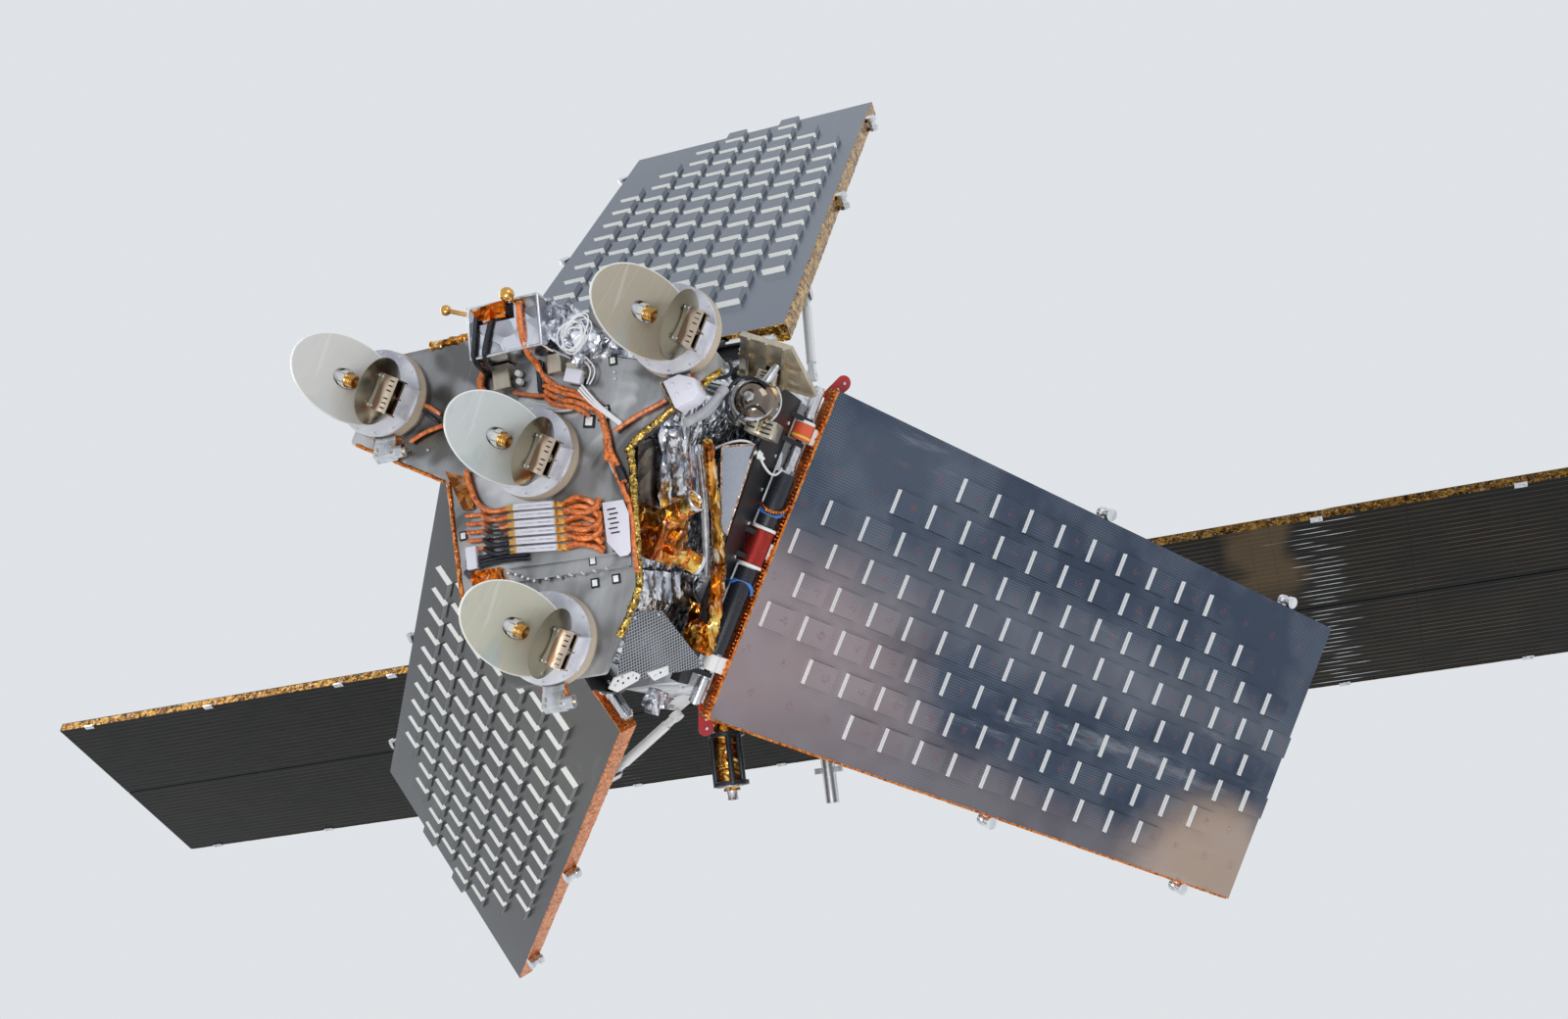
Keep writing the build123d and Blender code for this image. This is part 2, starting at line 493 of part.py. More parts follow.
def antenna_mirror():
    """Flat oval mirror at 45 degrees to the feed, with the sleeve that turns round the feed tube."""
    roll = radians(MIRROR_ROLL)
    normal = Vector(1, sin(roll), cos(roll)).normalized()
    plane = Plane(origin=(MIRROR_X, 0, FEED_HEIGHT), x_dir=(0, cos(roll), -sin(roll)), z_dir=normal)
    oval = plane.location * extrude(Ellipse(MIRROR_R, MIRROR_R * sqrt(2)), -MIRROR_THICK)
    sleeve = rod((-82, 0, FEED_HEIGHT), (MIRROR_X, 0, FEED_HEIGHT), MIRROR_HUB_R)
    front = plane.location * (Pos(0, 0, 30 - MIRROR_THICK) * Box(300, 300, 60))
    hole = rod((-90, 0, FEED_HEIGHT), (MIRROR_X + 60, 0, FEED_HEIGHT), MIRROR_HOLE_R)
    return oval + (sleeve - front) - hole


def foil_box():
    """Foil-covered box at the deck's fore edge with a deep window in its outer face."""
    (x0, y0), (x1, y1) = FOIL_BOX_LOW, FOIL_BOX_HIGH
    top = DECK_Z - FOIL_BOX_HEIGHT
    box = block((x0, y0, top), (x1, y1, DECK_Z))
    box -= block((x1 - 44, y0 + 16, top - 1), (x1 - 8, y0 + 112, top + 50))
    return box


def stub_antennas():
    """Two gold balls on stems beside the foil box."""
    stubs = []
    for (fx, fy, fh), (bx, by, bh), radius in STUB_ANTENNAS:
        foot, ball = (fx, fy, DECK_Z - fh), (bx, by, DECK_Z - bh)
        stubs.append(rod(foot, ball, 5) + Pos(*ball) * Sphere(radius))
    return group(stubs) - foil_box()


def deck_boxes():
    """Small closed units and a bare plate on the deck."""
    boxes = []
    for x0, y0, x1, y1, height in DECK_BOXES + (EDGE_PLATE,):
        box = block((x0, y0, DECK_Z - height), (x1, y1, DECK_Z))
        boxes.append(chamfer(box.faces().sort_by(Axis.Z)[0].edges(), 2))
    return group(boxes)


def module_place(k):
    """The frame of one of the row of filter modules: x along the module towards port."""
    return Pos(MODULE_X - k * MODULE_PITCH, -10, DECK_Z) * Rot(0, 0, 90 - MODULE_TURN) * Rot(180, 0, 0)


def filter_modules():
    """Row of slim modules side by side, each with a connector block at both ends."""
    modules = []
    for k in range(MODULES):
        half = MODULE_LENGTH / 2
        module = block((-half, -MODULE_WIDTH / 2, 0), (half, MODULE_WIDTH / 2, MODULE_HEIGHT))
        module -= block((-half + 10, -1.5, MODULE_HEIGHT - 2), (half - 10, 1.5, MODULE_HEIGHT + 1))
        for side in (-1, 1):
            near, far = sorted((side * half, side * (half + CONNECTOR_LENGTH)))
            module += block((near, -CONNECTOR_SIZE / 2, 2), (far, CONNECTOR_SIZE / 2, 2 + CONNECTOR_SIZE))
        modules.append(module_place(k) * module)
    return group(modules)


def deck_channel():
    """Open channel across the deck behind the modules."""
    (x0, y0), (x1, y1) = CHANNEL_START, CHANNEL_END
    length, azimuth = hypot(x1 - x0, y1 - y0), degrees(atan2(y1 - y0, x1 - x0))
    half = CHANNEL_WIDTH / 2
    channel = block((0, -half, 0), (length, half, CHANNEL_HEIGHT))
    channel -= block((-1, -half + 3, 3), (length + 1, half - 3, CHANNEL_HEIGHT + 1))
    return Pos(x0, y0, DECK_Z) * Rot(0, 0, azimuth) * Rot(180, 0, 0) * channel


def harness():
    """Cable bundles clipped to the deck: the main runs, and a cable from each end of every module."""
    cables = []
    for points, radius in DECK_CABLES:
        cables.append(tube([(x, y, DECK_Z - height) for x, y, height in points], radius))
    end = MODULE_LENGTH / 2 + CONNECTOR_LENGTH
    for k in range(MODULES):
        for side, route in ((1, MODULE_CABLE_PORT), (-1, MODULE_CABLE_STARBOARD)):
            points = [(side * end, 0, 2 + CONNECTOR_SIZE / 2)]
            points += [(side * (end + out), across, 2 + CONNECTOR_SIZE / 2) for out, across in route]
            cables.append(module_place(k) * tube(points, 4.5))
    return cables


def face_point(r, t, z):
    """A point given beside a body face, in the fore face's frame."""
    return (r, t, HINGE_Z + z)


def horizon_sensors():
    """Wrapped sensor block on the port face with two short barrels that look away from each other."""
    sensors = block(face_point(*SENSOR_LOW), face_point(*SENSOR_HIGH))
    for foot, lens in SENSORS:
        sensors += rod(face_point(*foot), face_point(*lens), SENSOR_R)
        barrel = Vector(*lens) - Vector(*foot)
        tip = Vector(*lens) + barrel.normalized() * 3
        sensors += rod(face_point(*lens), face_point(*tip), LENS_R)
    return turned(sensors, 120) - equipment_bay()


def service_lines():
    """Wrapped and ribbed lines along the port face."""
    lines = []
    for points, radius in SERVICE_LINES:
        route = [face_point(*p) for p in points]
        line = tube(route, radius) if len(route) > 2 else rod(route[0], route[1], radius)
        lines.append(turned(line, 120))
    return lines


def slope_plane(r, z, slope):
    """A plane beside the port face: x along the hinge line, y up the slope, z outwards."""
    run = hypot(1, slope)
    return Plane(origin=(r, 0, HINGE_Z + z), x_dir=(0, 1, 0), z_dir=(slope / run, 0, -1 / run))


def side_screens():
    """Fine-mesh screen and carbon grid screen on stand-offs from the port face."""
    mesh = slab(slope_plane(MESH_R, MESH_Z, MESH_SLOPE), MESH_POINTS, SCREEN_THICK)
    grid = slab(slope_plane(SCREEN_R, SCREEN_Z, SCREEN_SLOPE), GRID_POINTS, SCREEN_THICK)
    return [turned(mesh, 120), turned(grid, 120)]


def corner_brackets():
    """Flat bolted brackets on the outer side of the grid screen's plane."""
    plane = slope_plane(SCREEN_R, SCREEN_Z, SCREEN_SLOPE).offset((SCREEN_THICK + BRACKET_THICK) / 2)
    return [turned(slab(plane, points, BRACKET_THICK), 120) for points in CORNER_BRACKETS]


def crosslink_gimbal():
    """Arm from the bay's corner and the round gimbal at its end."""
    middle = (GIMBAL_LOW + GIMBAL_HIGH) / 2
    arm = rod((165, 285, middle), (GIMBAL_X, GIMBAL_Y, middle), 20)
    drum = rod((GIMBAL_X, GIMBAL_Y, GIMBAL_LOW), (GIMBAL_X, GIMBAL_Y, GIMBAL_HIGH), GIMBAL_R)
    drum = fillet(drum.edges().filter_by(GeomType.CIRCLE).sort_by(Axis.Z)[0], 14)
    a, tilt = radians(FIN_AZIMUTH), radians(FIN_TILT)
    root = (FIN_START[0] + FIN_LENGTH / 2 * cos(a) - FIN_DEPTH / 2 * sin(a) * cos(tilt),
            FIN_START[1] + FIN_LENGTH / 2 * sin(a) + FIN_DEPTH / 2 * cos(a) * cos(tilt),
            FIN_START[2] + FIN_DEPTH / 2 * sin(tilt))
    shaft = rod((GIMBAL_X, GIMBAL_Y, middle), root, 12)
    return arm + drum + shaft - equipment_bay() - crosslink_antenna()


def crosslink_antenna():
    """Tilted wedge-ended panel with three long bars and three cross pillars on its nadir side."""
    a, tilt = radians(FIN_AZIMUTH), radians(FIN_TILT)
    along = Vector(cos(a), sin(a), 0)
    across = Vector(-sin(a) * cos(tilt), cos(a) * cos(tilt), sin(tilt))
    place = Plane(origin=FIN_START, x_dir=along, z_dir=along.cross(across)).location
    outline = Polygon((0, 0), (FIN_LENGTH - FIN_TIP, 0), (FIN_LENGTH, FIN_DEPTH), (0, FIN_DEPTH), align=None)
    fin = extrude(outline, FIN_THICK)
    for k in range(3):
        y = k * (FIN_DEPTH - 8) / 2
        end = FIN_LENGTH - FIN_TIP + (y / FIN_DEPTH) * FIN_TIP
        fin += block((0, y, -9), (end, y + 8, 0))
        x = 24 + k * 44
        fin += block((x, 0, -16), (x + 7, FIN_DEPTH, 0))
    return place * fin


def aft_thruster():
    """Wrapped thruster barrel on the tower's aft corner with its thin nozzle."""
    z = HINGE_Z + THRUSTER_Z
    body = rod((-CORE_CORNER_R, 0, z), (THRUSTER_END_X, 0, z), THRUSTER_R)
    body += rod((THRUSTER_END_X, 0, z), (THRUSTER_END_X - 14, 0, z), THRUSTER_R - 14)
    return body + rod((THRUSTER_END_X, 0, z), (NOZZLE_END_X, 0, z), NOZZLE_R)


def aft_canister():
    """Bright canister higher on the aft corner, with its mounting plate."""
    z = HINGE_Z + CANISTER_Z
    body = rod((-CORE_CORNER_R, 0, z), (CANISTER_END_X, 0, z), CANISTER_R)
    return body + block((-640, -45, z - 8), (-622, 45, z + 8))


def main():
    write("bus_core", core_tower())
    write("top_plate", top_plate())
    write("equipment_bay", equipment_bay())
    write("nadir_deck", nadir_deck())
    write("hinge_beams", group([turned(hinge_beam(), a) for a in FACE_AZIMUTHS]))
    write("hinge_dampers", group([turned(hinge_damper(*d), a) for a in FACE_AZIMUTHS for d in DAMPERS]))
    write("strut_plates", group(strut_plates()))
    for azimuth, name in SIDE_NAMES.items():
        write(f"array_{name}_panel", turned(array_panel(), azimuth))
        write(f"array_{name}_arms", turned(array_hinge_arms(), azimuth))
        write(f"array_{name}_spools", turned(array_spools(), azimuth))
        write(f"array_{name}_struts", turned(array_struts(), azimuth))
    for side, flip in (("port", False), ("starboard", True)):
        made = {"boom": wing_boom(), "fore_panel": wing_panel(1), "aft_panel": wing_panel(-1), "hinges": wing_hinges()}
        for piece, shape in made.items():
            write(f"wing_{side}_{piece}", shape.mirror(Plane.XZ) if flip else shape)
    drive = wing_drive()
    write("wing_drives", group([drive, drive.mirror(Plane.XZ)]))
    write("antenna_bases", group([antenna_place(s) * antenna_base() for s in ANTENNA_SITES]))
    outer = [s for s, (_, out) in ANTENNA_SITES.items() if out]
    write("antenna_drives", group([antenna_place(s) * antenna_drive() for s in outer]))
    for site in ANTENNA_SITES:
        write(f"antenna_{site}_turntable", antenna_place(site) * antenna_turntable())
        write(f"antenna_{site}_dish", antenna_place(site) * antenna_dish())
        write(f"antenna_{site}_mirror", antenna_place(site) * antenna_mirror())
    write("foil_box", foil_box())
    write("stub_antennas", stub_antennas())
    write("deck_boxes", deck_boxes())
    write("filter_modules", filter_modules())
    write("deck_channel", deck_channel())
    write("harness", group(harness()))
    write("horizon_sensors", horizon_sensors())
    write("service_lines", group(service_lines()))
    write("side_screens", group(side_screens()))
    write("corner_brackets", group(corner_brackets()))
    write("crosslink_gimbal", crosslink_gimbal())
    write("crosslink_antenna", crosslink_antenna())
    write("aft_thruster", aft_thruster())
    write("aft_canister", aft_canister())


main()
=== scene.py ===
"""Finishes and fine pieces of a full-size communications satellite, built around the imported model.
Metres, +Z towards zenith, +X along the flight direction, +Y to port. Points in tables are in millimetres."""

import math
import random

import bmesh
import bpy
from mathutils import Matrix, Vector, noise


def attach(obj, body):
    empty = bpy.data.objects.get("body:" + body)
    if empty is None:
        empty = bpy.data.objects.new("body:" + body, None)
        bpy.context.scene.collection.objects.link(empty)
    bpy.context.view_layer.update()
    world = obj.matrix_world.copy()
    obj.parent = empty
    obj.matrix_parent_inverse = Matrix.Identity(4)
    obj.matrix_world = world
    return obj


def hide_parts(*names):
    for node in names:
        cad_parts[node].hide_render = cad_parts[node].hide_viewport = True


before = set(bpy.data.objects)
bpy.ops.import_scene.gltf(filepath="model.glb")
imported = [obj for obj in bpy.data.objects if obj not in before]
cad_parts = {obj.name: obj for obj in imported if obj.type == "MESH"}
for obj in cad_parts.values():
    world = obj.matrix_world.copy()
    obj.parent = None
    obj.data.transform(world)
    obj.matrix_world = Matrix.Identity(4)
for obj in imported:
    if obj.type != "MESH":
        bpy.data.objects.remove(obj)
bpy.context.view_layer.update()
# Without a seed of its own, the sway of crushed foil would differ at each run
noise.seed_set(11)

# Heights and places shared with the solids
HINGE_Z, DECK_Z = -3.400, -4.000
SIDES = {"fore": 0.0, "port": 120.0, "starboard": -120.0}
PANEL_LEAN, PANEL_FACE_R = 40.0, 0.379
PANEL_LENGTH, PANEL_WIDTH, PANEL_THICK = 1.880, 0.860, 0.042
TILE_ROWS, TILE_HEIGHT = 8, 0.018
TILE_PITCH, TILE_ROW_PITCH, FIRST_TILE_S = 0.1167, 0.0956, 0.0365
HINGE_R, HINGE_UP = 0.33848, -0.0156
WING_AXIS_X, WING_AXIS_Z, WING_PITCH = -0.117, -0.090, -59.4
WING_ROOT, WING_TIP, WING_CHORD, WING_THICK = 0.500, 4.115, 1.100, 0.040
WING_BAY, CELL_LENGTH, CELL_WIDTH = 0.723, 0.080, 0.0275
FEED_AZIMUTH, FEED_HEIGHT = 120.0, 0.130
ANTENNA_RING = 0.4105
# Antenna sites: azimuth about the body axis, and 1 on the ring or 0 in the middle
ANTENNAS = {"fore_port": (60, 1), "fore_starboard": (-60, 1), "aft": (180, 1), "centre": (0, 0)}
MIRROR_X, MIRROR_ROLL, MIRROR_R = -0.027, 15.0, 0.091
IDENTITY = Matrix.Identity(4)


def moved(x, y, z):
    return Matrix.Translation((x, y, z))


def turned(degrees, axis="Z"):
    return Matrix.Rotation(math.radians(degrees), 4, axis)


def axes(x, y, z, origin):
    """Frame from its three axes and its origin."""
    place = Matrix((x, y, z)).transposed().to_4x4()
    place.translation = origin
    return place


def aimed(middle, direction):
    """Frame at a point with z in a direction."""
    return Matrix.Translation(middle) @ direction.to_track_quat("Z", "Y").to_matrix().to_4x4()


def panel_matrix(azimuth):
    """Frame of an array panel: x along its length, z out of its active face."""
    lean = math.radians(PANEL_LEAN)
    sine, cosine = math.sin(lean), math.cos(lean)
    local = axes((sine, 0, cosine), (0, -1, 0), (cosine, 0, -sine), (PANEL_FACE_R, 0, HINGE_Z))
    return turned(azimuth) @ local


def wing_matrix():
    """Frame of the port wing: x outwards, y along the chord, z out of the cell face."""
    pitch = math.radians(WING_PITCH)
    out, face = Vector((0, 1, 0)), Vector((math.sin(pitch), 0, -math.cos(pitch)))
    return axes(out, face.cross(out), face, (WING_AXIS_X, 0, WING_AXIS_Z))


def antenna_matrix(azimuth, ring):
    """Frame of a steerable antenna: x along the feed towards the dish, z away from the deck."""
    a, feed = math.radians(azimuth), math.radians(FEED_AZIMUTH)
    along, out = Vector((math.cos(feed), math.sin(feed), 0)), Vector((0, 0, -1))
    reach = ring * ANTENNA_RING
    return axes(along, out.cross(along), out, (reach * math.cos(a), reach * math.sin(a), DECK_Z))


def mirror_plane(site):
    """Frame in a mirror's own face: x across it, y along its long axis."""
    roll = math.radians(MIRROR_ROLL)
    normal = Vector((1, math.sin(roll), math.cos(roll))).normalized()
    across = Vector((0, math.cos(roll), -math.sin(roll)))
    return PLACES[site] @ axes(across, normal.cross(across), normal, (MIRROR_X, 0, FEED_HEIGHT))


def screen_plane(radius, rise):
    """Frame of a sloping screen beside the port face: x along the hinge line, y up the slope, z outwards."""
    slope = FACES["port"] @ moved(radius, 0, -0.420) @ Matrix.Rotation(math.atan(rise), 4, "Y")
    return slope @ Matrix(((0, 0, 1, 0), (1, 0, 0, 0), (0, 1, 0, 0), (0, 0, 0, 1)))


PANELS = {side: panel_matrix(azimuth) for side, azimuth in SIDES.items()}
# Body faces: x out of the body, y along the hinge line, z up from the hinge plane
FACES = {side: turned(azimuth) @ moved(0, 0, HINGE_Z) for side, azimuth in SIDES.items()}
WING = wing_matrix()
PLACES = {site: antenna_matrix(*spot) for site, spot in ANTENNAS.items()}
MESH_PLANE, GRID_PLANE = screen_plane(0.250, 0.25), screen_plane(0.240, 1 / 2.6)
# The long folds of the sheets that hang on the port side
FOLDS = FACES["port"] @ aimed((0, 0, 0), Vector((0.023, 0.239, 0.279)))


# Node building

def sum_of(operation, swapped=False):
    """Way to combine a field with another field or a number in one Math node."""
    def combine(self, other=0.0):
        first, second = (other, self) if swapped else (self, other)
        return self.nodes.make("Math", {0: first, 1: second}, operation=operation)
    return combine


class Field:
    """Number, colour or vector that varies over a surface: one output of a shader node."""

    def __init__(self, nodes, socket):
        self.nodes, self.socket = nodes, socket

    __add__ = __radd__ = sum_of("ADD")
    __mul__ = __rmul__ = sum_of("MULTIPLY")
    __sub__, __rsub__ = sum_of("SUBTRACT"), sum_of("SUBTRACT", True)
    __truediv__, __rtruediv__ = sum_of("DIVIDE"), sum_of("DIVIDE", True)
    __pow__, __abs__ = sum_of("POWER"), sum_of("ABSOLUTE")
    __lt__, __gt__ = sum_of("LESS_THAN"), sum_of("GREATER_THAN")
    most, least = sum_of("MAXIMUM"), sum_of("MINIMUM")
    modulo, swing = sum_of("FLOORED_MODULO"), sum_of("PINGPONG")
    root, floor, fract = sum_of("SQRT"), sum_of("FLOOR"), sum_of("FRACT")
    cosine, arctan2 = sum_of("COSINE"), sum_of("ARCTAN2")

    def ramp(self, low, high, to_low=0.0, to_high=1.0):
        """The field rescaled smoothly from one span to another."""
        sockets = {0: self, 1: low, 2: high, 3: to_low, 4: to_high}
        return self.nodes.make("MapRange", sockets, interpolation_type="SMOOTHSTEP")


class Nodes:
    """Node tree of a material or group, with short ways to add the nodes that the finishes use."""

    def __init__(self, tree):
        self.tree = tree

    def feed(self, socket, value):
        """Link a field to a socket, or set a plain number or colour on it."""
        if isinstance(value, Field):
            self.tree.links.new(value.socket, socket)
        else:
            socket.default_value = (*value, 1.0) if socket.type == "RGBA" else value

    def add(self, kind, sockets, **options):
        """Add a shader node with its options, and fill or link its inputs."""
        made = self.tree.nodes.new("ShaderNode" + kind)
        for name, value in options.items():
            setattr(made, name, value)
        for key, value in sockets.items():
            self.feed(made.inputs[key], value)
        return made.outputs

    def make(self, kind, sockets, output=0, **options):
        """Add a node and give one of its outputs."""
        return Field(self, self.add(kind, sockets, **options)[output])

    def all_of(self, kind, sockets, **options):
        """Add a node and give all its outputs by name."""
        return {socket.name: Field(self, socket) for socket in self.add(kind, sockets, **options)}

    def use(self, group, **values):
        """Place a group and fill its inputs."""
        return self.all_of("Group", values, node_tree=group)

    def noise(self, vector, scale, detail=2.0, output=0, **more):
        return self.make("TexNoise", {"Vector": vector, "Scale": scale, "Detail": detail, **more}, output)

    def mix(self, factor, first, second, mode="MIX"):
        """Mix of two colours."""
        return self.make("Mix", {0: factor, 6: first, 7: second}, 2, data_type="RGBA", blend_type=mode)

    def vector(self, operation, first, second=(0, 0, 0)):
        key = "Scale" if operation == "SCALE" else 1
        return self.make("VectorMath", {0: first, key: second}, operation=operation)

    def mapped(self, vector, matrix=None, scale=(1, 1, 1)):
        """Coordinates in a given frame, scaled along its axes."""
        if matrix is not None:
            inverse = matrix.inverted()
            sockets = {"Vector": vector, "Location": inverse.translation, "Rotation": inverse.to_euler()}
            vector = self.make("Mapping", sockets)
        return self.make("Mapping", {"Vector": vector, "Scale": scale})

    def split(self, vector):
        """The three coordinates of a vector as numbers."""
        return self.all_of("SeparateXYZ", {0: vector}).values()

    def bump(self, height, strength, distance):
        """Normal from a height, in metres of relief."""
        return self.make("Bump", {"Height": height, "Strength": strength, "Distance": distance})


class Group(Nodes):
    """Shader group: a vector and named numbers in, named numbers out."""

    def __init__(self, name, **numbers):
        super().__init__(bpy.data.node_groups.new(name, "ShaderNodeTree"))
        self.tree.interface.new_socket("Vector", in_out="INPUT", socket_type="NodeSocketVector")
        for label, value in numbers.items():
            socket = self.tree.interface.new_socket(label, in_out="INPUT", socket_type="NodeSocketFloat")
            socket.default_value = value
        given = self.tree.nodes.new("NodeGroupInput").outputs
        self.where = Field(self, given["Vector"])
        self.given = [Field(self, given[label]) for label in numbers]

    def give(self, **fields):
        """Name the outputs, link them and hand over the finished group."""
        for label in fields:
            self.tree.interface.new_socket(label, in_out="OUTPUT", socket_type="NodeSocketFloat")
        out = self.tree.nodes.new("NodeGroupOutput").inputs
        for label, field in fields.items():
            self.feed(out[label], field)
        return self.tree


# Finishes by name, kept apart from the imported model's flat materials, which share some names
FINISHES = {}


class Finish(Nodes):
    """Material with a Principled shader. Numbers that are the same all over are set on its own sockets."""

    def __init__(self, name, **constants):
        material = bpy.data.materials.new(name)
        material.use_nodes = True
        FINISHES[name] = material
        super().__init__(material.node_tree)
        self.where = self.make("TexCoord", {}, "Object")
        self.shade(**constants)

    def shade(self, **inputs):
        """Set or link inputs of the shader; underscores stand for spaces."""
        shader = self.tree.nodes["Principled BSDF"].inputs
        for label, value in inputs.items():
            self.feed(shader[label.replace("_", " ")], value)


def crumple_group():
    """Creased foil: each facet has a painted gradient of reflected light of its own, with painted glints and
    painted shade in dark folds along some.
    """
    group = Group("Crumpled foil", Scale=30.0)
    scale, = group.given
    wander = group.vector("SUBTRACT", group.noise(group.where, scale, 1.0, "Color"), (0.5, 0.5, 0.5))
    bent = group.vector("ADD", group.where, group.vector("SCALE", wander, 1.3 / scale))
    large = group.all_of("TexVoronoi", {"Vector": bent, "Scale": scale})
    fine = group.all_of("TexVoronoi", {"Vector": bent, "Scale": scale * 2.6})
    place = group.vector("SCALE", group.where, scale * 1.1)
    place = group.vector("ADD", place, group.vector("SCALE", large["Color"], 3.0))
    place = group.vector("ADD", place, group.vector("SCALE", fine["Color"], 0.7))
    # Shade is painted shading and reflection across each facet, Glint painted highlights
    return group.give(Height=large["Distance"] + fine["Distance"] * 0.4,
                      Shade=group.noise(place, 1.0, 1.5).ramp(0.32, 0.68),
                      Glint=group.noise(place, 2.3, 1.0).ramp(0.60, 0.70))


def streak_group():
    """Brushed or rolled metal: long fine streaks along the first axis, and slow clouds over them."""
    group = Group("Brushed streaks", Scale=60.0)
    scale, = group.given
    thin = group.mapped(group.where, None, (0.06, 1.0, 1.0))
    return group.give(Streak=group.noise(thin, scale, 5.0).ramp(0.3, 0.7),
                      Cloud=group.noise(group.where, scale * 0.06, 4.0).ramp(0.35, 0.65))


def wear_group():
    """Handling marks: speckles of dust and thin scratches."""
    group = Group("Handling wear", Scale=20.0)
    scale, = group.given
    turn, drawn_out = (0.4, 0.3, 0.7), (0.05, 2.0, 2.0)
    drawn = group.make("Mapping", {"Vector": group.where, "Rotation": turn, "Scale": drawn_out})
    scratch = group.make("TexVoronoi", {"Vector": drawn, "Scale": scale}, "Distance",
                         feature="DISTANCE_TO_EDGE")
    return group.give(Dust=group.noise(group.where, scale * 14.0).ramp(0.62, 0.72),
                      Scratch=scratch.ramp(0.0, 0.012, 1.0, 0.0))


def lattice_group():
    """Two sets of crossing lines in a frame's own plane, with a square pitch."""
    group = Group("Lattice", Pitch=0.01, Line=0.2)
    pitch, line = group.given
    along, across, _ = group.split(group.where)
    nearest = (along / pitch).swing(0.5).least((across / pitch).swing(0.5))
    return group.give(Lines=nearest < line * 0.5, Height=nearest.ramp(0.0, 0.25))


CRUMPLE, STREAK, WEAR, LATTICE = crumple_group(), streak_group(), wear_group(), lattice_group()


# Finishes

def foil_finish(name, bright, middle, dark, scale, roughness=0.24, relief=0.006, glint=0.8, tint=None,
                folds=None):
    """Crumpled metal foil with painted light: painted shade in dark folds, coloured slopes, painted
    reflections on bright facets and small painted glints.
    """
    made = Finish(name, Metallic=1.0)
    where = made.where if folds is None else made.mapped(made.where, folds, (1.0, 1.0, 0.24))
    foil = made.use(CRUMPLE, Vector=where, Scale=scale)
    # Painted shading: the dark colour is painted shade, the bright colour painted reflected light, across the
    # crumple's facets
    colour = made.mix(foil["Shade"].ramp(0.0, 0.45), dark, middle)
    colour = made.mix(foil["Shade"].ramp(0.50, 0.95), colour, bright)
    if tint is not None:
        tinted = made.mix(made.noise(where, scale * 0.3).ramp(0.48, 0.62), (1, 1, 1), tint)
        colour = made.mix(1.0, colour, tinted, "MULTIPLY")
    # Near-white colour of the painted glints
    white = [min(1.0, c * 0.4 + 0.62) for c in bright]
    made.shade(Base_Color=made.mix(foil["Glint"] * glint, colour, white),
               Roughness=foil["Shade"].ramp(0.0, 1.0, roughness + 0.12, roughness),
               Normal=made.bump(foil["Height"], 1.0, relief))


def metal_finish(name, colour, scale, roughness, contrast=0.35, scratches=0.25, metallic=1.0, sweep=0.0,
                 place=None):
    """Brushed or machined metal with streaks, clouds and scratches; sweep adds wide light and dark bands of
    painted reflection.
    """
    made = Finish(name, Metallic=metallic)
    where = made.mapped(made.where, place)
    streaks = made.use(STREAK, Vector=where, Scale=scale)
    wear = made.use(WEAR, Vector=where, Scale=scale * 0.3)
    low = [c * (1 - contrast) for c in colour]
    high = [min(1.0, c * (1 + contrast * 0.6)) for c in colour]
    base = made.mix((streaks["Streak"] + streaks["Cloud"]) * 0.5, low, high)
    if sweep:
        # Sweep: wide bands of painted reflection, light and dark
        drift = made.noise(where, 5.0, Distortion=1.2)
        base = made.mix(drift.ramp(0.50, 0.64, 0.0, sweep), base, (0.74, 0.73, 0.72))
        base = made.mix(drift.ramp(0.37, 0.48, sweep, 0.0), base, (0.10, 0.095, 0.09))
    made.shade(Base_Color=made.mix(wear["Scratch"] * scratches, base, (1, 1, 1), "SCREEN"),
               Roughness=streaks["Cloud"].ramp(0.0, 1.0, roughness - 0.07, roughness + 0.10),
               Normal=made.bump(streaks["Streak"], 0.25, 0.0006))


def paint_finish(name, colour, grime, scale=30.0, roughness=0.35):
    """Satin paint with faint grime and a soft orange-peel relief."""
    made = Finish(name)
    cloud = made.use(STREAK, Vector=made.where, Scale=scale)["Cloud"]
    dust = made.use(WEAR, Vector=made.where, Scale=scale)["Dust"]
    base = made.mix(cloud * 0.5, colour, grime)
    made.shade(Base_Color=made.mix(dust * 0.3, base, grime),
               Roughness=dust.ramp(0.0, 1.0, roughness, roughness + 0.2),
               Normal=made.bump(made.noise(made.where, scale * 12), 0.2, 0.0005))


def cloth_finish(name, colour, roughness, contrast):
    """Black composite or sleeving with faint cloth texture and dust."""
    made = Finish(name, Specular_IOR_Level=0.4)
    dust = made.use(WEAR, Vector=made.where, Scale=18.0)["Dust"]
    lattice = made.use(LATTICE, Vector=made.where, Pitch=0.004, Line=0.5)
    base = made.mix(lattice["Lines"] * 0.5, colour, [c * contrast for c in colour])
    made.shade(Base_Color=made.mix(dust * 0.06, base, (0.5, 0.5, 0.5)),
               Roughness=dust.ramp(0.0, 1.0, roughness, roughness + 0.2),
               Normal=made.bump(lattice["Height"], 0.3, 0.0006))


def weave_finish(name, dark, light, pitch, line, plane):
    """Plate with a square lattice printed or woven in it."""
    made = Finish(name, Metallic=0.3)
    place = made.mapped(made.where, plane)
    lattice = made.use(LATTICE, Vector=place, Pitch=pitch, Line=line)
    wear = made.use(WEAR, Vector=place, Scale=12.0)
    clouds = made.noise(place, 9.0, 3.0)
    base = made.mix(lattice["Lines"], dark, light)
    base = made.mix(clouds.ramp(0.45, 0.75, 0.0, 0.3), base, light)
    made.shade(Base_Color=made.mix(wear["Dust"] * 0.2, base, (0.7, 0.7, 0.7)),
               Roughness=clouds.ramp(0.3, 0.7, 0.28, 0.45),
               Normal=made.bump(lattice["Height"], 0.6, 0.0015))


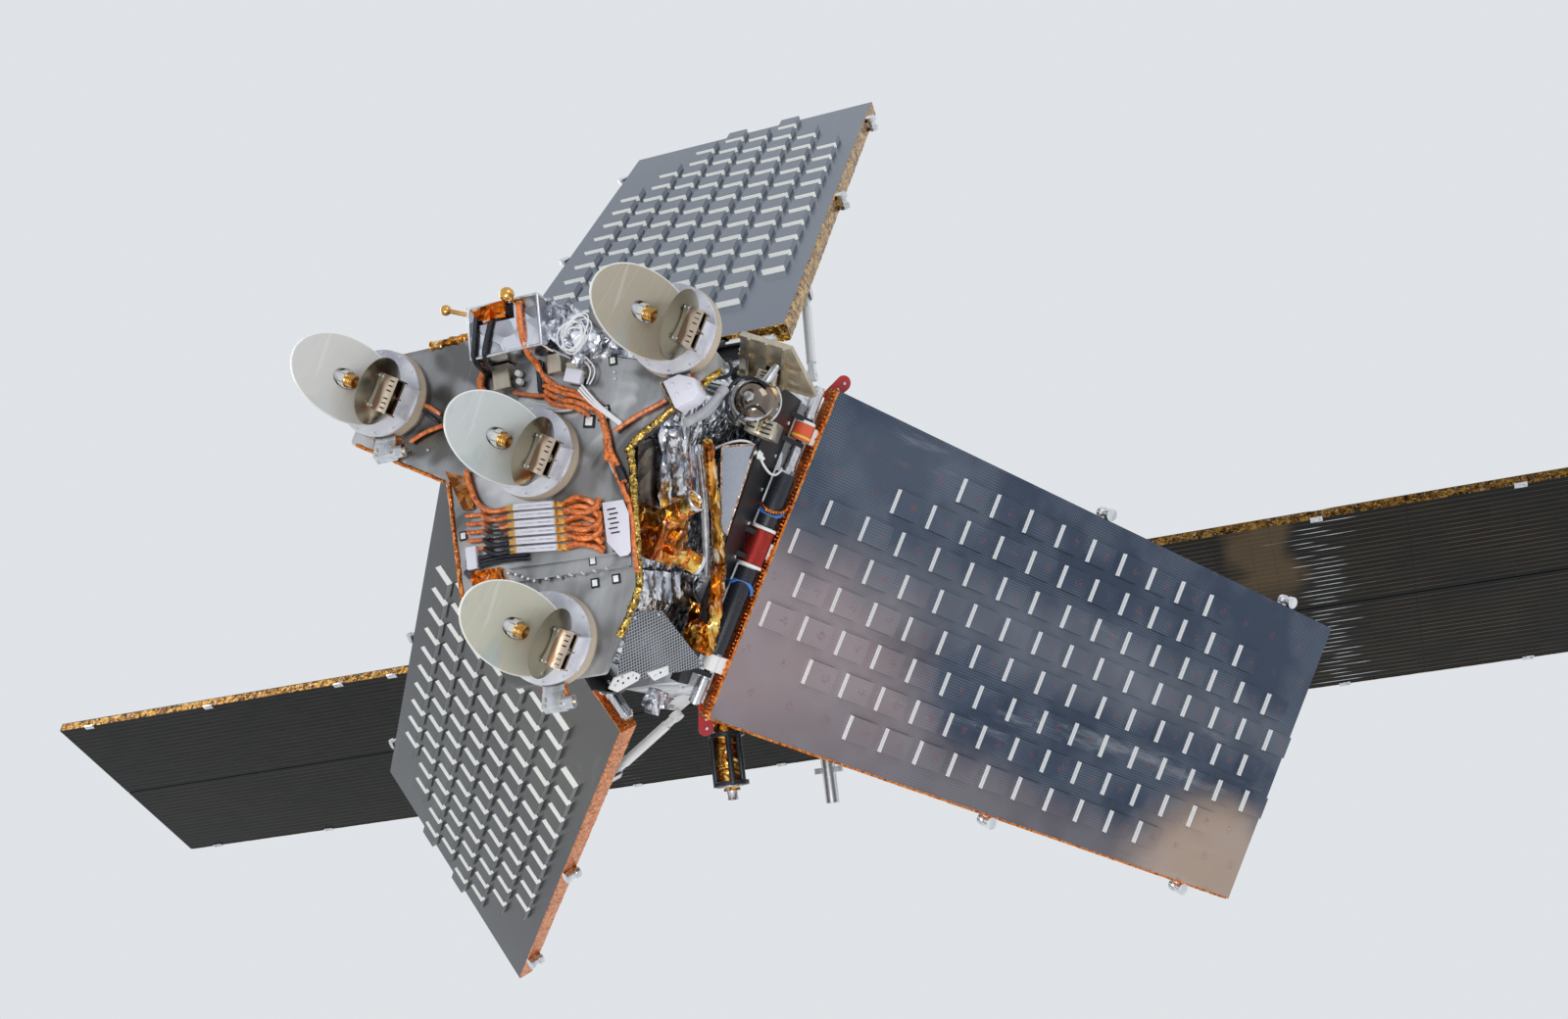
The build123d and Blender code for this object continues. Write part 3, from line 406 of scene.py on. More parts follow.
def array_finish(side, face, grid, lit_wall, shaded_wall, ticks, painted_reflections, smears=0.2, spots=0.0):
    """Silvered panel face: painted reflections in patches of colour, a fine printed grid, smears, and tile
    walls with painted light: front walls lit and glowing, side walls shaded.
    """
    made = Finish("array_face_" + side)
    place = made.mapped(made.where, PANELS[side])
    along, across, height = made.split(place)
    clouds = made.noise(place, 2.2, 5.0, Distortion=0.8)
    base = face
    # Painted reflections of the room: soft patches of colour over the face
    for middle, reach, colour, strength in painted_reflections:
        u, v = (along - middle[0]) / reach[0], (across - middle[1]) / reach[1]
        away = (u * u + v * v).root() + (clouds - 0.5)
        base = made.mix(away.ramp(0.45, 1.25, strength, 0.0), base, colour)
    lines = made.use(LATTICE, Vector=place, Pitch=0.0072, Line=0.45)["Lines"]
    shown = lines * made.noise(place, 4.5, 3.0).ramp(0.42, 0.60, 0.35 * grid, grid)
    base = made.mix(shown, base, (0.46, 0.50, 0.56))
    slanted = made.make("Mapping", {"Vector": place, "Rotation": (0, 0, 0.55), "Scale": (0.35, 3.0, 1.0)})
    smear = made.noise(slanted, 2.4, 8.0, Roughness=0.7).ramp(0.57, 0.75)
    base = made.mix(smear * smears, base, (0.55, 0.56, 0.58))
    rows = across / TILE_ROW_PITCH + 0.5 * TILE_ROWS
    steps = (along - FIRST_TILE_S) / TILE_PITCH + rows.floor().modulo(2.0) * 0.5
    ahead = (steps + 0.25).fract() * TILE_PITCH - 0.25 * TILE_PITCH
    level = abs(height - 0.5 * TILE_HEIGHT)
    raised = level < 0.5 * TILE_HEIGHT - 0.0004
    front = raised * (abs(ahead) < 0.0015)
    if spots:
        sideways = (rows.fract() - 0.5) * TILE_ROW_PITCH
        beyond = ahead - 0.052
        away = (beyond * beyond + sideways * sideways).root()
        grain = made.noise(place, 150.0, 1.0)
        dots = away.ramp(0.008, 0.016, 1.0, 0.0) * grain.ramp(0.50, 0.56, 0.0, spots)
        base = made.mix(dots, base, (0.26, 0.10, 0.09))
    groove = level < 0.0011
    tick = (across / 0.0052).swing(0.5) < 0.16
    marks = (groove * (2.2 * ticks)).most(tick * ticks)
    # Painted light on the tile walls: all walls take the shaded colour, the front walls the lit colour
    base = made.mix(raised, base, shaded_wall)
    base = made.mix(front, base, made.mix(marks, lit_wall, (0.22, 0.22, 0.21)))
    seam = abs(height - (TILE_HEIGHT - 0.0009)) < 0.0007
    base = made.mix(seam * 0.6, base, (0.05, 0.05, 0.05))
    base = made.mix(height < -0.0006, base, (0.06, 0.055, 0.05))
    # Painted glow: the front walls emit their lit colour, though they are no lamp
    glow = made.mix(front * (1.0 - marks), (0, 0, 0), lit_wall)
    made.shade(Base_Color=base, Emission_Color=glow, Emission_Strength=0.26, Metallic=0.70 - raised * 0.66,
               Roughness=smear.ramp(0.0, 1.0, 0.26, 0.42) + raised * 0.25,
               Normal=made.bump(smear, 0.15, 0.0004))


def cell_finish(name, line, sheen_colour, shine):
    """Solar cells in long strings: thin gilt lines with a painted band of glints and a painted warm sheen,
    over nearly black glass.
    """
    made = Finish(name, Roughness=0.20, Specular_IOR_Level=0.14)
    place = made.mapped(made.where, WING)
    out, chord, _ = made.split(place)
    span = abs(out)
    strings = (chord / CELL_WIDTH).swing(0.5).ramp(0.0, 0.10, 1.0, 0.0)
    gaps = (out / CELL_LENGTH).swing(0.5).ramp(0.0, 0.015, 1.0, 0.0)
    bays = ((span - WING_ROOT) / WING_BAY).swing(0.5).ramp(0.0, 0.008, 1.0, 0.0)
    clouds = made.noise(place, 3.0, 3.0)
    cell = made.vector("FLOOR", made.mapped(place, None, (1 / CELL_LENGTH, 36.36, 0.0)))
    tone = made.make("TexWhiteNoise", {"Vector": cell}, "Value", noise_dimensions="3D")
    base = made.mix(tone * 0.5, (0.004, 0.004, 0.004), (0.014, 0.013, 0.010))
    # Painted warm sheen on the upper half of the wing
    sheen = abs(span - (clouds * 0.4 + 1.22)).ramp(0.07, 0.17, 0.9, 0.0)
    base = made.mix(sheen * chord.ramp(0.0, 0.25), base, sheen_colour)
    base = made.mix(strings * clouds.ramp(0.35, 0.65, 0.35, 1.0), base, line)
    # Painted glints: a ragged near-white band across the strings
    ragged = made.noise(made.mapped(place, None, (4.0, 60.0, 1.0)), 1.0)
    band = abs(span - (ragged * 0.5 + 1.36)).ramp(0.02, 0.09, shine, 0.0)
    base = made.mix(strings * band, base, (0.86, 0.84, 0.80))
    base = made.mix(gaps.most(bays) * 0.6, base, (0.004, 0.004, 0.004))
    made.shade(Base_Color=base, Normal=made.bump(1.0 - strings.most(gaps), 0.4, 0.0012))


def mirror_finish(site, pearl, cloud):
    """Pearly plated mirror: faint coloured clouds, painted brown reflections, polishing marks and a paler rim.
    """
    made = Finish("mirror_white_" + site, Metallic=0.35, Coat_Weight=0.4, Coat_Roughness=0.15)
    place = made.mapped(made.where, mirror_plane(site))
    across, along, _ = made.split(place)
    clouds = made.noise(place, 9.0, 3.0, Distortion=0.8)
    base = made.mix(clouds.ramp(0.48, 0.68), pearl, cloud)
    # Painted reflection: brown patches of the reflected dish
    base = made.mix(made.noise(place, 5.0).ramp(0.50, 0.68, 0.0, 0.5), base, (0.40, 0.31, 0.22))
    base = made.mix(made.use(WEAR, Vector=place, Scale=14.0)["Scratch"] * 0.12, base, (1, 1, 1))
    oval = (across / MIRROR_R) ** 2.0 + (along / (MIRROR_R * math.sqrt(2))) ** 2.0
    made.shade(Base_Color=made.mix(oval.ramp(0.93, 0.965, 0.0, 0.7), base, (0.88, 0.86, 0.80)),
               Roughness=clouds.ramp(0.3, 0.7, 0.28, 0.42),
               Normal=made.bump(made.noise(place, 260.0), 0.08, 0.0004))


def feed_frame(made, site):
    """Coordinates about an antenna's feed line, with the distance along it and the distance from it."""
    place = made.mapped(made.where, PLACES[site] @ moved(0, 0, FEED_HEIGHT))
    along, side, up = made.split(place)
    return place, along, (side * side + up * up).root(), side.arctan2(up)


def dish_finish(site):
    """Spun nickel-bronze: turning rings about the feed line, a painted highlight glowing on one side, and
    bracket sheets with painted highlight bands and painted shade.
    """
    made = Finish("bronze_dish_" + site, Metallic=1.0)
    place, along, radius, angle = feed_frame(made, site)
    rings = made.make("TexNoise", {"W": radius * 900.0, "Scale": 1.0}, noise_dimensions="1D")
    clouds = made.noise(place, 14.0, 3.0)
    # Painted highlight: a glow on one side of the dish
    glow = ((angle + 0.5).cosine() * 0.5 + 0.5) ** 3.0
    base = made.mix(clouds.ramp(0.35, 0.65), (0.095, 0.080, 0.048), (0.150, 0.132, 0.088))
    base = made.mix(glow * 0.55, base, (0.42, 0.37, 0.27))
    base = made.mix(rings.ramp(0.35, 0.7, 0.0, 0.22), base, (0.36, 0.33, 0.25))
    # Bracket sheets: stripes of painted highlight and painted shade
    stripe = made.noise(made.mapped(place, None, (30.0, 8.0, 30.0)), 1.0)
    sheets = made.mix(stripe.ramp(0.42, 0.60), (0.16, 0.10, 0.06), (0.62, 0.50, 0.38))
    made.shade(Base_Color=made.mix(along.ramp(0.0835, 0.0845), base, sheets),
               Roughness=clouds.ramp(0.3, 0.7, 0.17, 0.27), Normal=made.bump(rings, 0.12, 0.0004))


def disc_finish(site):
    """Pale anodised turntable: soft clouds and dust on the disc, and a gilded horn on the feed line."""
    made = Finish("disc_white_" + site)
    place, along, radius, _ = feed_frame(made, site)
    clouds = made.noise(place, 16.0, 3.0)
    base = made.mix(clouds.ramp(0.35, 0.65), (0.50, 0.50, 0.55), (0.68, 0.68, 0.72))
    base = made.mix(made.use(WEAR, Vector=place, Scale=16.0)["Dust"] * 0.3, base, (0.4, 0.38, 0.36))
    horn = (radius < 0.0165) * (along > -0.022)
    gold = made.mix(made.noise(place, 90.0, 1.0).ramp(0.40, 0.60), (0.55, 0.27, 0.05), (1.0, 0.78, 0.38))
    made.shade(Base_Color=made.mix(horn, base, gold), Metallic=horn * 0.95,
               Roughness=clouds.ramp(0.3, 0.7, 0.25, 0.40),
               Normal=made.bump(made.noise(place, 300.0), 0.15, 0.0004))


def wrap_finish():
    """Cable bundles wrapped in glossy orange tape, with wrinkles under painted shine and painted glints, and
    dark sleeves here and there with painted glints of their own.
    """
    made = Finish("orange_wrap", Coat_Weight=0.6, Coat_Roughness=0.12)
    tape = (0.44, 0.075, 0.006)
    foil = made.use(CRUMPLE, Vector=made.where, Scale=65.0)
    # Painted shine: the tape runs from its own colour to a painted orange reflection across the facets
    base = made.mix(foil["Shade"], tape, (0.80, 0.20, 0.02))
    base = made.mix(made.noise(made.where, 70.0).ramp(0.55, 0.70, 0.0, 0.8), base, [c * 0.35 for c in tape])
    # Painted glints on the tape
    base = made.mix(foil["Glint"] * 0.40, base, (1.0, 0.62, 0.30))
    dark = made.noise(made.where, 4.16, 1.0).ramp(0.71, 0.73)
    mask = 0.0
    for centre, half in DARK_ZONES:
        away = made.vector("DIVIDE", made.vector("SUBTRACT", made.where, centre), half)
        across, along, up = made.split(made.vector("ABSOLUTE", away))
        mask = (across.most(along.most(up)) < 1.0).most(mask)
    # Dark sleeves, with painted glints of their own
    sleeve = made.mix(foil["Glint"] * 0.35, (0.018, 0.018, 0.022), (0.5, 0.52, 0.56))
    made.shade(Base_Color=made.mix(dark.most(mask), base, sleeve),
               Roughness=foil["Shade"].ramp(0.0, 1.0, 0.42, 0.22),
               Normal=made.bump(foil["Height"], 0.8, 0.002))


# Foils: bright, middle and dark colour (painted reflection, mid tone, painted shade), scale, roughness,
# relief, glint (painted highlights), tint, frame of the folds
FOILS = {
    "silver_foil": ((0.90, 0.91, 0.95), (0.42, 0.43, 0.47), (0.06, 0.065, 0.08), 26.0),
    "tower_foil": ((0.74, 0.75, 0.78), (0.52, 0.52, 0.55), (0.30, 0.30, 0.32), 5.0, 0.26, 0.010, 0.25),
    "box_film": ((0.80, 0.81, 0.85), (0.50, 0.50, 0.54), (0.20, 0.20, 0.23), 7.0, 0.16, 0.005, 0.35),
    "sheet_foil": ((0.92, 0.93, 0.97), (0.52, 0.54, 0.60), (0.16, 0.165, 0.19), 30.0, 0.20, 0.004, 0.7, None,
                   FOLDS),
    "gold_foil": ((1.0, 0.64, 0.15), (0.60, 0.24, 0.025), (0.16, 0.045, 0.006), 20.0, 0.18, 0.006, 0.6,
                  (0.95, 0.42, 0.20)),
    "roll_foil": ((1.0, 0.70, 0.20), (0.62, 0.28, 0.035), (0.16, 0.055, 0.008), 26.0, 0.18, 0.004, 0.6,
                  (0.95, 0.50, 0.24), FOLDS),
    "dark_gold": ((0.74, 0.42, 0.07), (0.32, 0.15, 0.02), (0.07, 0.028, 0.006), 40.0, 0.2, 0.003, 0.4),
    "trim_gold": ((0.80, 0.56, 0.14), (0.40, 0.24, 0.045), (0.10, 0.055, 0.010), 70.0, 0.22, 0.003, 0.4),
    "wing_tape": ((0.34, 0.18, 0.035), (0.15, 0.07, 0.012), (0.025, 0.010, 0.003), 30.0, 0.2, 0.002, 0.3),
    "trim_orange": ((1.0, 0.36, 0.07), (0.72, 0.19, 0.022), (0.34, 0.07, 0.008), 70.0, 0.24, 0.002, 0.4),
    "rib_orange": ((1.0, 0.55, 0.25), (0.90, 0.30, 0.08), (0.45, 0.10, 0.02), 120.0, 0.2, 0.001),
    "copper_film": ((0.62, 0.26, 0.07), (0.42, 0.15, 0.03), (0.20, 0.06, 0.012), 20.0, 0.26, 0.002, 0.2),
    "rose_foil": ((0.85, 0.62, 0.48), (0.60, 0.38, 0.26), (0.30, 0.16, 0.10), 50.0, 0.24, 0.002, 0.4),
    "smoked_film": ((0.20, 0.17, 0.14), (0.13, 0.11, 0.09), (0.05, 0.045, 0.045), 14.0, 0.30, 0.001, 0.12),
}
# Metals: colour, scale of the streaks, roughness, contrast, scratches, metallic, sweep (painted light and dark
# reflections), frame of the streaks
METALS = {
    "bright_aluminium": ((0.78, 0.79, 0.81), 70.0, 0.24),
    "champagne_metal": ((0.60, 0.53, 0.41), 50.0, 0.34, 0.3),
    "gold_plated": ((0.78, 0.42, 0.12), 40.0, 0.16, 0.4, 0.02),
    "smoked_metal": ((0.30, 0.24, 0.19), 24.0, 0.16, 0.5, 0.05),
    "crimson_anodised": ((0.34, 0.028, 0.022), 40.0, 0.22, 0.3, 0.03, 0.75),
    "deck_grey": ((0.45, 0.445, 0.44), 9.0, 0.30, 0.5, 0.06, 1.0, 0.75, Matrix.Rotation(0.35, 4, "Z")),
}
# Paints: colour, grime, scale, roughness
PAINTS = {
    "white_paint": ((0.80, 0.80, 0.79), (0.55, 0.53, 0.50), 30.0, 0.45),
    "white_cable": ((0.84, 0.84, 0.85), (0.62, 0.60, 0.58), 60.0, 0.30),
    "pale_plate": ((0.70, 0.69, 0.76), (0.55, 0.52, 0.58), 24.0, 0.30),
    "collar_pearl": ((0.58, 0.57, 0.53), (0.44, 0.41, 0.36)),
    "drum_tan": ((0.50, 0.42, 0.32), (0.30, 0.23, 0.16), 22.0),
    "grey_hose": ((0.42, 0.43, 0.45), (0.25, 0.25, 0.26), 40.0),
    "orange_red": ((0.75, 0.12, 0.04), (0.45, 0.06, 0.02)),
    "red_lug": ((0.42, 0.015, 0.02), (0.25, 0.01, 0.012)),
    "yellow_tape": ((0.85, 0.55, 0.08), (0.60, 0.35, 0.04)),
    "blue_plastic": ((0.06, 0.22, 0.62), (0.03, 0.10, 0.35), 30.0, 0.40),
}
# Cloths: colour, roughness, contrast of the threads
CLOTHS = {
    "black_composite": ((0.006, 0.006, 0.007), 0.32, 1.3),
    "dark_cable": ((0.014, 0.016, 0.022), 0.26, 1.25),
    "lens_glass": ((0.050, 0.045, 0.030), 0.10, 1.2),
}
# Weaves: dark and light colour, pitch, share of line, plane
WEAVES = {
    "grid_carbon": ((0.010, 0.010, 0.012), (0.36, 0.37, 0.39), 0.0078, 0.32,
                    GRID_PLANE @ Matrix.Rotation(0.6, 4, "Z")),
    "fine_mesh": ((0.10, 0.115, 0.145), (0.56, 0.60, 0.68), 0.0042, 0.5, MESH_PLANE),
}
# Panel faces: face colour, grid, lit and shaded wall colours (painted light on the tile walls), ticks, painted
# reflections, smears, spots. A painted reflection is its middle and reach on the panel, its colour and its
# strength
ARRAY_FACES = {
    "fore": ((0.140, 0.166, 0.212), 0.04, (0.94, 0.94, 0.88), (0.31, 0.33, 0.37), 0.0, (
        ((0.30, -0.20), (0.80, 0.50), (0.170, 0.195, 0.240), 0.8),
        ((1.60, 0.30), (0.90, 0.30), (0.105, 0.130, 0.175), 0.8))),
    "port": ((0.030, 0.048, 0.084), 0.18, (0.86, 0.87, 0.88), (0.10, 0.10, 0.12), 0.22, (
        ((0.9, 0.05), (1.2, 0.12), (0.16, 0.17, 0.20), 0.6),
        ((0.05, -0.25), (0.60, 0.30), (0.34, 0.26, 0.26), 1.0),
        ((0.55, -0.40), (0.55, 0.16), (0.22, 0.18, 0.19), 0.7),
        ((1.20, -0.42), (0.60, 0.12), (0.17, 0.14, 0.15), 0.7),
        ((1.75, -0.38), (0.38, 0.24), (0.50, 0.36, 0.27), 0.9),
        ((0.30, 0.30), (0.35, 0.16), (0.11, 0.13, 0.17), 0.5)), 0.45, 0.4),
    "starboard": ((0.024, 0.025, 0.028), 0.03, (0.92, 0.93, 0.89), (0.36, 0.37, 0.36), 0.0, (
        ((0.20, 0.20), (0.60, 0.50), (0.080, 0.072, 0.062), 0.8),
        ((1.50, -0.20), (0.60, 0.40), (0.030, 0.034, 0.040), 0.8))),
}
# Wing cells: colour of the strings, colour of the painted warm sheen, shine of the painted glints. The wings
# are alike: port's brighter strings, sheen and glints are painted light, starboard's darker strings painted
# shade
WING_CELLS = {
    "port": ((0.17, 0.09, 0.028), (0.10, 0.065, 0.030), 1.0),
    "starboard": ((0.05, 0.036, 0.012), (0.012, 0.011, 0.010), 0.1),
}
# Mirrors: pearl and cloud colours. The fore_port mirror's darker, browner colours are painted reflection of
# its dish
PEARLS = {
    "fore_port": ((0.38, 0.33, 0.25), (0.36, 0.35, 0.30)),
    "fore_starboard": ((0.56, 0.54, 0.51), (0.50, 0.52, 0.50)),
    "aft": ((0.47, 0.45, 0.36), (0.36, 0.41, 0.38)),
    "centre": ((0.52, 0.54, 0.52), (0.42, 0.47, 0.46)),
}
# Boxes round the harness where it is dark: centre and half size
DARK_ZONES = (((-0.222, -0.150, -4.012), (0.030, 0.060, 0.020)),
              ((0.150, -0.300, -4.012), (0.012, 0.030, 0.020)))
TABLES = ((foil_finish, FOILS), (metal_finish, METALS), (paint_finish, PAINTS), (cloth_finish, CLOTHS),
          (weave_finish, WEAVES), (array_finish, ARRAY_FACES), (mirror_finish, PEARLS))
for finish, table in TABLES:
    for name, values in table.items():
        finish(name, *values)
wrap_finish()

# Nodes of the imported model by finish
DRESS = {
    "tower_foil": "bus_core", "silver_foil": "equipment_bay", "box_film": "foil_box",
    "gold_plated": "stub_antennas",
    "black_composite": "hinge_beams", "drum_tan": "antenna_bases", "orange_wrap": "harness",
    "grid_carbon": "side_screens", "white_paint": "strut_plates corner_brackets",
    "deck_grey": "top_plate nadir_deck deck_channel", "champagne_metal": "deck_boxes crosslink_antenna",
    "gold_foil": "horizon_sensors service_lines aft_thruster",
    "bright_aluminium": "hinge_dampers wing_drives antenna_drives filter_modules crosslink_gimbal "
                        "aft_canister",
}


def dress(name, finish):
    """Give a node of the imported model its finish."""
    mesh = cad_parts[name].data
    mesh.materials.clear()
    mesh.materials.append(FINISHES[finish])


for finish, names in DRESS.items():
    for name in names.split():
        dress(name, finish)
for side in SIDES:
    dress(f"array_{side}_panel", "array_face_" + side)
    dress(f"array_{side}_arms", "white_paint")
    dress(f"array_{side}_spools", "bright_aluminium")
    dress(f"array_{side}_struts", "white_paint")
for side, values in WING_CELLS.items():
    cell_finish("solar_cells_" + side, *values)
    dress(f"wing_{side}_fore_panel", "solar_cells_" + side)
    dress(f"wing_{side}_aft_panel", "solar_cells_" + side)
    dress(f"wing_{side}_boom", "black_composite")
    dress(f"wing_{side}_hinges", "bright_aluminium")
for site in ANTENNAS:
    disc_finish(site)
    dish_finish(site)
    dress(f"antenna_{site}_turntable", "disc_white_" + site)
    dress(f"antenna_{site}_dish", "bronze_dish_" + site)
    dress(f"antenna_{site}_mirror", "mirror_white_" + site)


# Shaping pieces: points and sizes are in millimetres

SHEET_THICK, SHARP_ANGLE, CLOSE = 0.0012, 32.0, 1e-6
# Slots of the record, with the finishes of another name and the pieces that don't take their finish's slot
SLOTS = {
    "black_composite": "dark_cable smoked_film lens_glass",
    "bright_aluminium": "crimson_anodised orange_red blue_plastic grey_hose",
    "gold_foil": "yellow_tape dark_gold roll_foil trim_gold copper_film gold_plated rose_foil wing_tape "
                 "sensor_straps",
    "orange_wrap": "trim_orange rib_orange red_lug",
    "silver_foil": "sheet_foil tower_strips",
    "white_paint": "white_cable pale_plate collar_pearl",
    "champagne_metal": "smoked_metal pale_plates",
    "solar_cells": "fine_mesh",
}
SLOT_OF = {name: slot for slot, names in SLOTS.items() for name in names.split()}


def mm(*values):
    """Point in metres from millimetres."""
    return Vector([value / 1000 for value in values])


def below(level):
    """Way to give points in millimetres at a depth under a level."""
    return lambda x, y, depth: Vector((x / 1000, y / 1000, level - depth / 1000))


def within(place):
    """Way to give points in millimetres in a frame."""
    return lambda x, y, z: place @ mm(x, y, z)


deck, under_hinge = below(DECK_Z), below(HINGE_Z)


def deck_place(x, y, height, degrees=0.0):
    """Frame on the nadir deck, turned about the vertical."""
    return Matrix.Translation(deck(x, y, height)) @ turned(degrees)


def facing(place):
    """Turn of a frame without its place."""
    return place.to_3x3().to_4x4()


def circle(radius, degrees):
    """Point on a circle."""
    return radius * math.cos(math.radians(degrees)), radius * math.sin(math.radians(degrees))


def soften(form, verts, width, rims=False):
    """Bevel the edges of a new form, or only the rims of a round one."""
    if not width:
        return
    edges = list(dict.fromkeys(edge for vert in verts for edge in vert.link_edges))
    if rims:
        edges = [edge for edge in edges if any(len(face.verts) > 4 for face in edge.link_faces)]
    bmesh.ops.bevel(form, geom=edges, offset=width / 1000, affect="EDGES", segments=2, profile=0.5,
                    material=-1)


def crumple(form, depth, size, seed):
    """Push a form's points about in facets with sharp folds, as in creased foil."""
    form.normal_update()
    moves = []
    for vert in form.verts:
        at = vert.co / (size / 1000) + Vector((seed, 0.37 * seed, -seed))
        near, fine = noise.voronoi(at)[0], noise.voronoi(at * 2.3)[0]
        push = (near[1] - near[0]) + 0.45 * (fine[1] - fine[0]) - 0.55
        sway = noise.noise_vector(at * 0.6)
        moves.append(vert.normal * push * (depth / 1000) + sway * (depth / 1000) * 0.8)
    for vert, move in zip(form.verts, moves):
        vert.co += move


def curve_mesh(spots, steps, closed=False, **options):
    """Mesh of a smooth line through control points."""
    curve = bpy.data.curves.new("route", "CURVE")
    curve.dimensions, curve.resolution_u = "3D", steps
    for name, value in options.items():
        setattr(curve, name, value)
    spline = curve.splines.new("NURBS")
    spline.points.add(len(spots) - 1)
    for point, spot in zip(spline.points, spots):
        point.co = (*spot, 1.0)
    spline.order_u, spline.use_endpoint_u, spline.use_cyclic_u = 3, not closed, closed
    route = bpy.data.objects.new("route", curve)
    mesh = bpy.data.meshes.new_from_object(route)
    bpy.data.objects.remove(route)
    bpy.data.curves.remove(curve)
    return mesh


def even_spots(spots, spacing):
    """Evenly spaced points along the smooth line through control points, in metres."""
    mesh = curve_mesh(spots, 24)
    line = [vert.co.copy() for vert in mesh.vertices]
    bpy.data.meshes.remove(mesh)
    found, left = [line[0]], spacing
    for start, end in zip(line, line[1:]):
        run = (end - start).length
        while left <= run:
            found.append(start.lerp(end, left / run))
            left += spacing
        left -= run
    return found


class Shape:
    """Form of one piece. Its point function takes millimetres, and its place moves it at the end."""

    def __init__(self, point=mm, place=None):
        self.form, self.point, self.place = bmesh.new(), point, place

    def join(self, part, place=IDENTITY):
        """Take in another form, moved to a place."""
        bmesh.ops.transform(part, matrix=place, verts=part.verts)
        bmesh.ops.recalc_face_normals(part, faces=part.faces)
        mesh = bpy.data.meshes.new("joined")
        part.to_mesh(mesh)
        part.free()
        self.form.from_mesh(mesh)
        bpy.data.meshes.remove(mesh)

    def block(self, centre, size, turn=IDENTITY, bevel=0.0):
        """Add a block with its centre and size."""
        place = Matrix.Translation(self.point(*centre)) @ turn @ Matrix.Diagonal((*mm(*size), 1.0))
        soften(self.form, bmesh.ops.create_cube(self.form, size=1.0, matrix=place)["verts"], bevel)

    def bar(self, start, end, radius, tip=None, sides=24, bevel=0.0):
        """Add a round or six-sided bar between two points in metres."""
        radii = {"radius1": radius / 1000, "radius2": (radius if tip is None else tip) / 1000}
        place = aimed((start + end) / 2, end - start)
        made = bmesh.ops.create_cone(self.form, cap_ends=True, segments=sides, depth=(end - start).length,
                                     matrix=place, **radii)["verts"]
        soften(self.form, made, bevel, True)

    def rod(self, start, end, *more):
        """Add a bar between two points in millimetres."""
        self.bar(self.point(*start), self.point(*end), *more)

    def knob(self, x, y, low, high, *more):
        """Add a bar along the third axis."""
        self.rod((x, y, low), (x, y, high), *more)

    def turning(self, outline, place, sides=32, angle=360.0):
        """Add a form turned about the z axis of a place, from a closed outline of (height, radius) points."""
        part = bmesh.new()
        verts = [part.verts.new((radius / 1000, 0, height / 1000)) for height, radius in outline]
        geometry = verts + [part.edges.new(pair) for pair in zip(verts, verts[1:] + verts[:1])]
        full = angle == 360.0
        if not full:
            geometry.append(part.faces.new(verts))
        bmesh.ops.spin(part, geom=geometry, cent=(0, 0, 0), axis=(0, 0, 1), angle=math.radians(angle),
                       steps=sides, use_merge=full)
        bmesh.ops.remove_doubles(part, verts=part.verts, dist=CLOSE)
        self.join(part, place)

    def ring(self, inner, outer, low, high, place, sides, edge=1.0, angle=360.0):
        """Add a flat ring with its outer corners taken off."""
        outline = ((low, inner), (low, outer - edge), (low + edge, outer), (high - edge, outer),
                   (high, outer - edge), (high, inner))
        self.turning(outline, place, sides, angle)

    def plate(self, outline, thick, place, bevel=0.0):
        """Add a flat plate from its outline in a place's x and y, with its thickness up the z."""
        part = bmesh.new()
        face = part.faces.new([part.verts.new(mm(x, y, 0)) for x, y in outline])
        made = bmesh.ops.extrude_face_region(part, geom=[face])["geom"]
        top = [item for item in made if isinstance(item, bmesh.types.BMVert)]
        bmesh.ops.translate(part, verts=top, vec=mm(0, 0, thick))
        soften(part, part.verts[:], bevel)
        self.join(part, place)

    def cable(self, spots, radius, rings=3, steps=5, closed=False):
        """Add a round cable along a smooth line through points in metres."""
        mesh = curve_mesh(spots, steps, closed, bevel_depth=radius / 1000, bevel_resolution=rings,
                          use_fill_caps=True)
        part = bmesh.new()
        part.from_mesh(mesh)
        bpy.data.meshes.remove(mesh)
        bmesh.ops.remove_doubles(part, verts=part.verts, dist=CLOSE)
        self.join(part)

    def tube(self, points, *more):
        """Add a cable through points in millimetres."""
        self.cable([self.point(*point) for point in points], *more)

    def hose(self, points, radius, spacing):
        """Add a ribbed hose: a plain tube with a ring at every step."""
        self.tube(points, radius * 0.86, 3, 10)
        spots = even_spots([self.point(*point) for point in points], spacing / 1000)
        for start, end in zip(spots, spots[1:]):
            self.bar(start, start.lerp(end, 0.55), radius, None, 18)

    def roll(self, points, radius, depth, size, seed):
        """Add a tube wrapped in crushed foil."""
        part = Shape(self.point)
        part.tube(points, radius, 5, 26)
        crumple(part.form, depth, size, seed)
        self.join(part.form)

    def lump(self, low, high, cuts, depth, size, seed, place=None):
        """Add a foil-wrapped box with crushed faces, between two corners of its own place if it has one."""
        point = self.point if place is None else mm
        low, high = point(*low), point(*high)
        part = bmesh.new()
        box = Matrix.Translation((low + high) / 2) @ Matrix.Diagonal((*(high - low), 1.0))
        bmesh.ops.create_cube(part, size=1.0, matrix=box)
        bmesh.ops.subdivide_edges(part, edges=part.edges[:], cuts=cuts, use_grid_fill=True)
        crumple(part, depth, size, seed)
        self.join(part, place or IDENTITY)

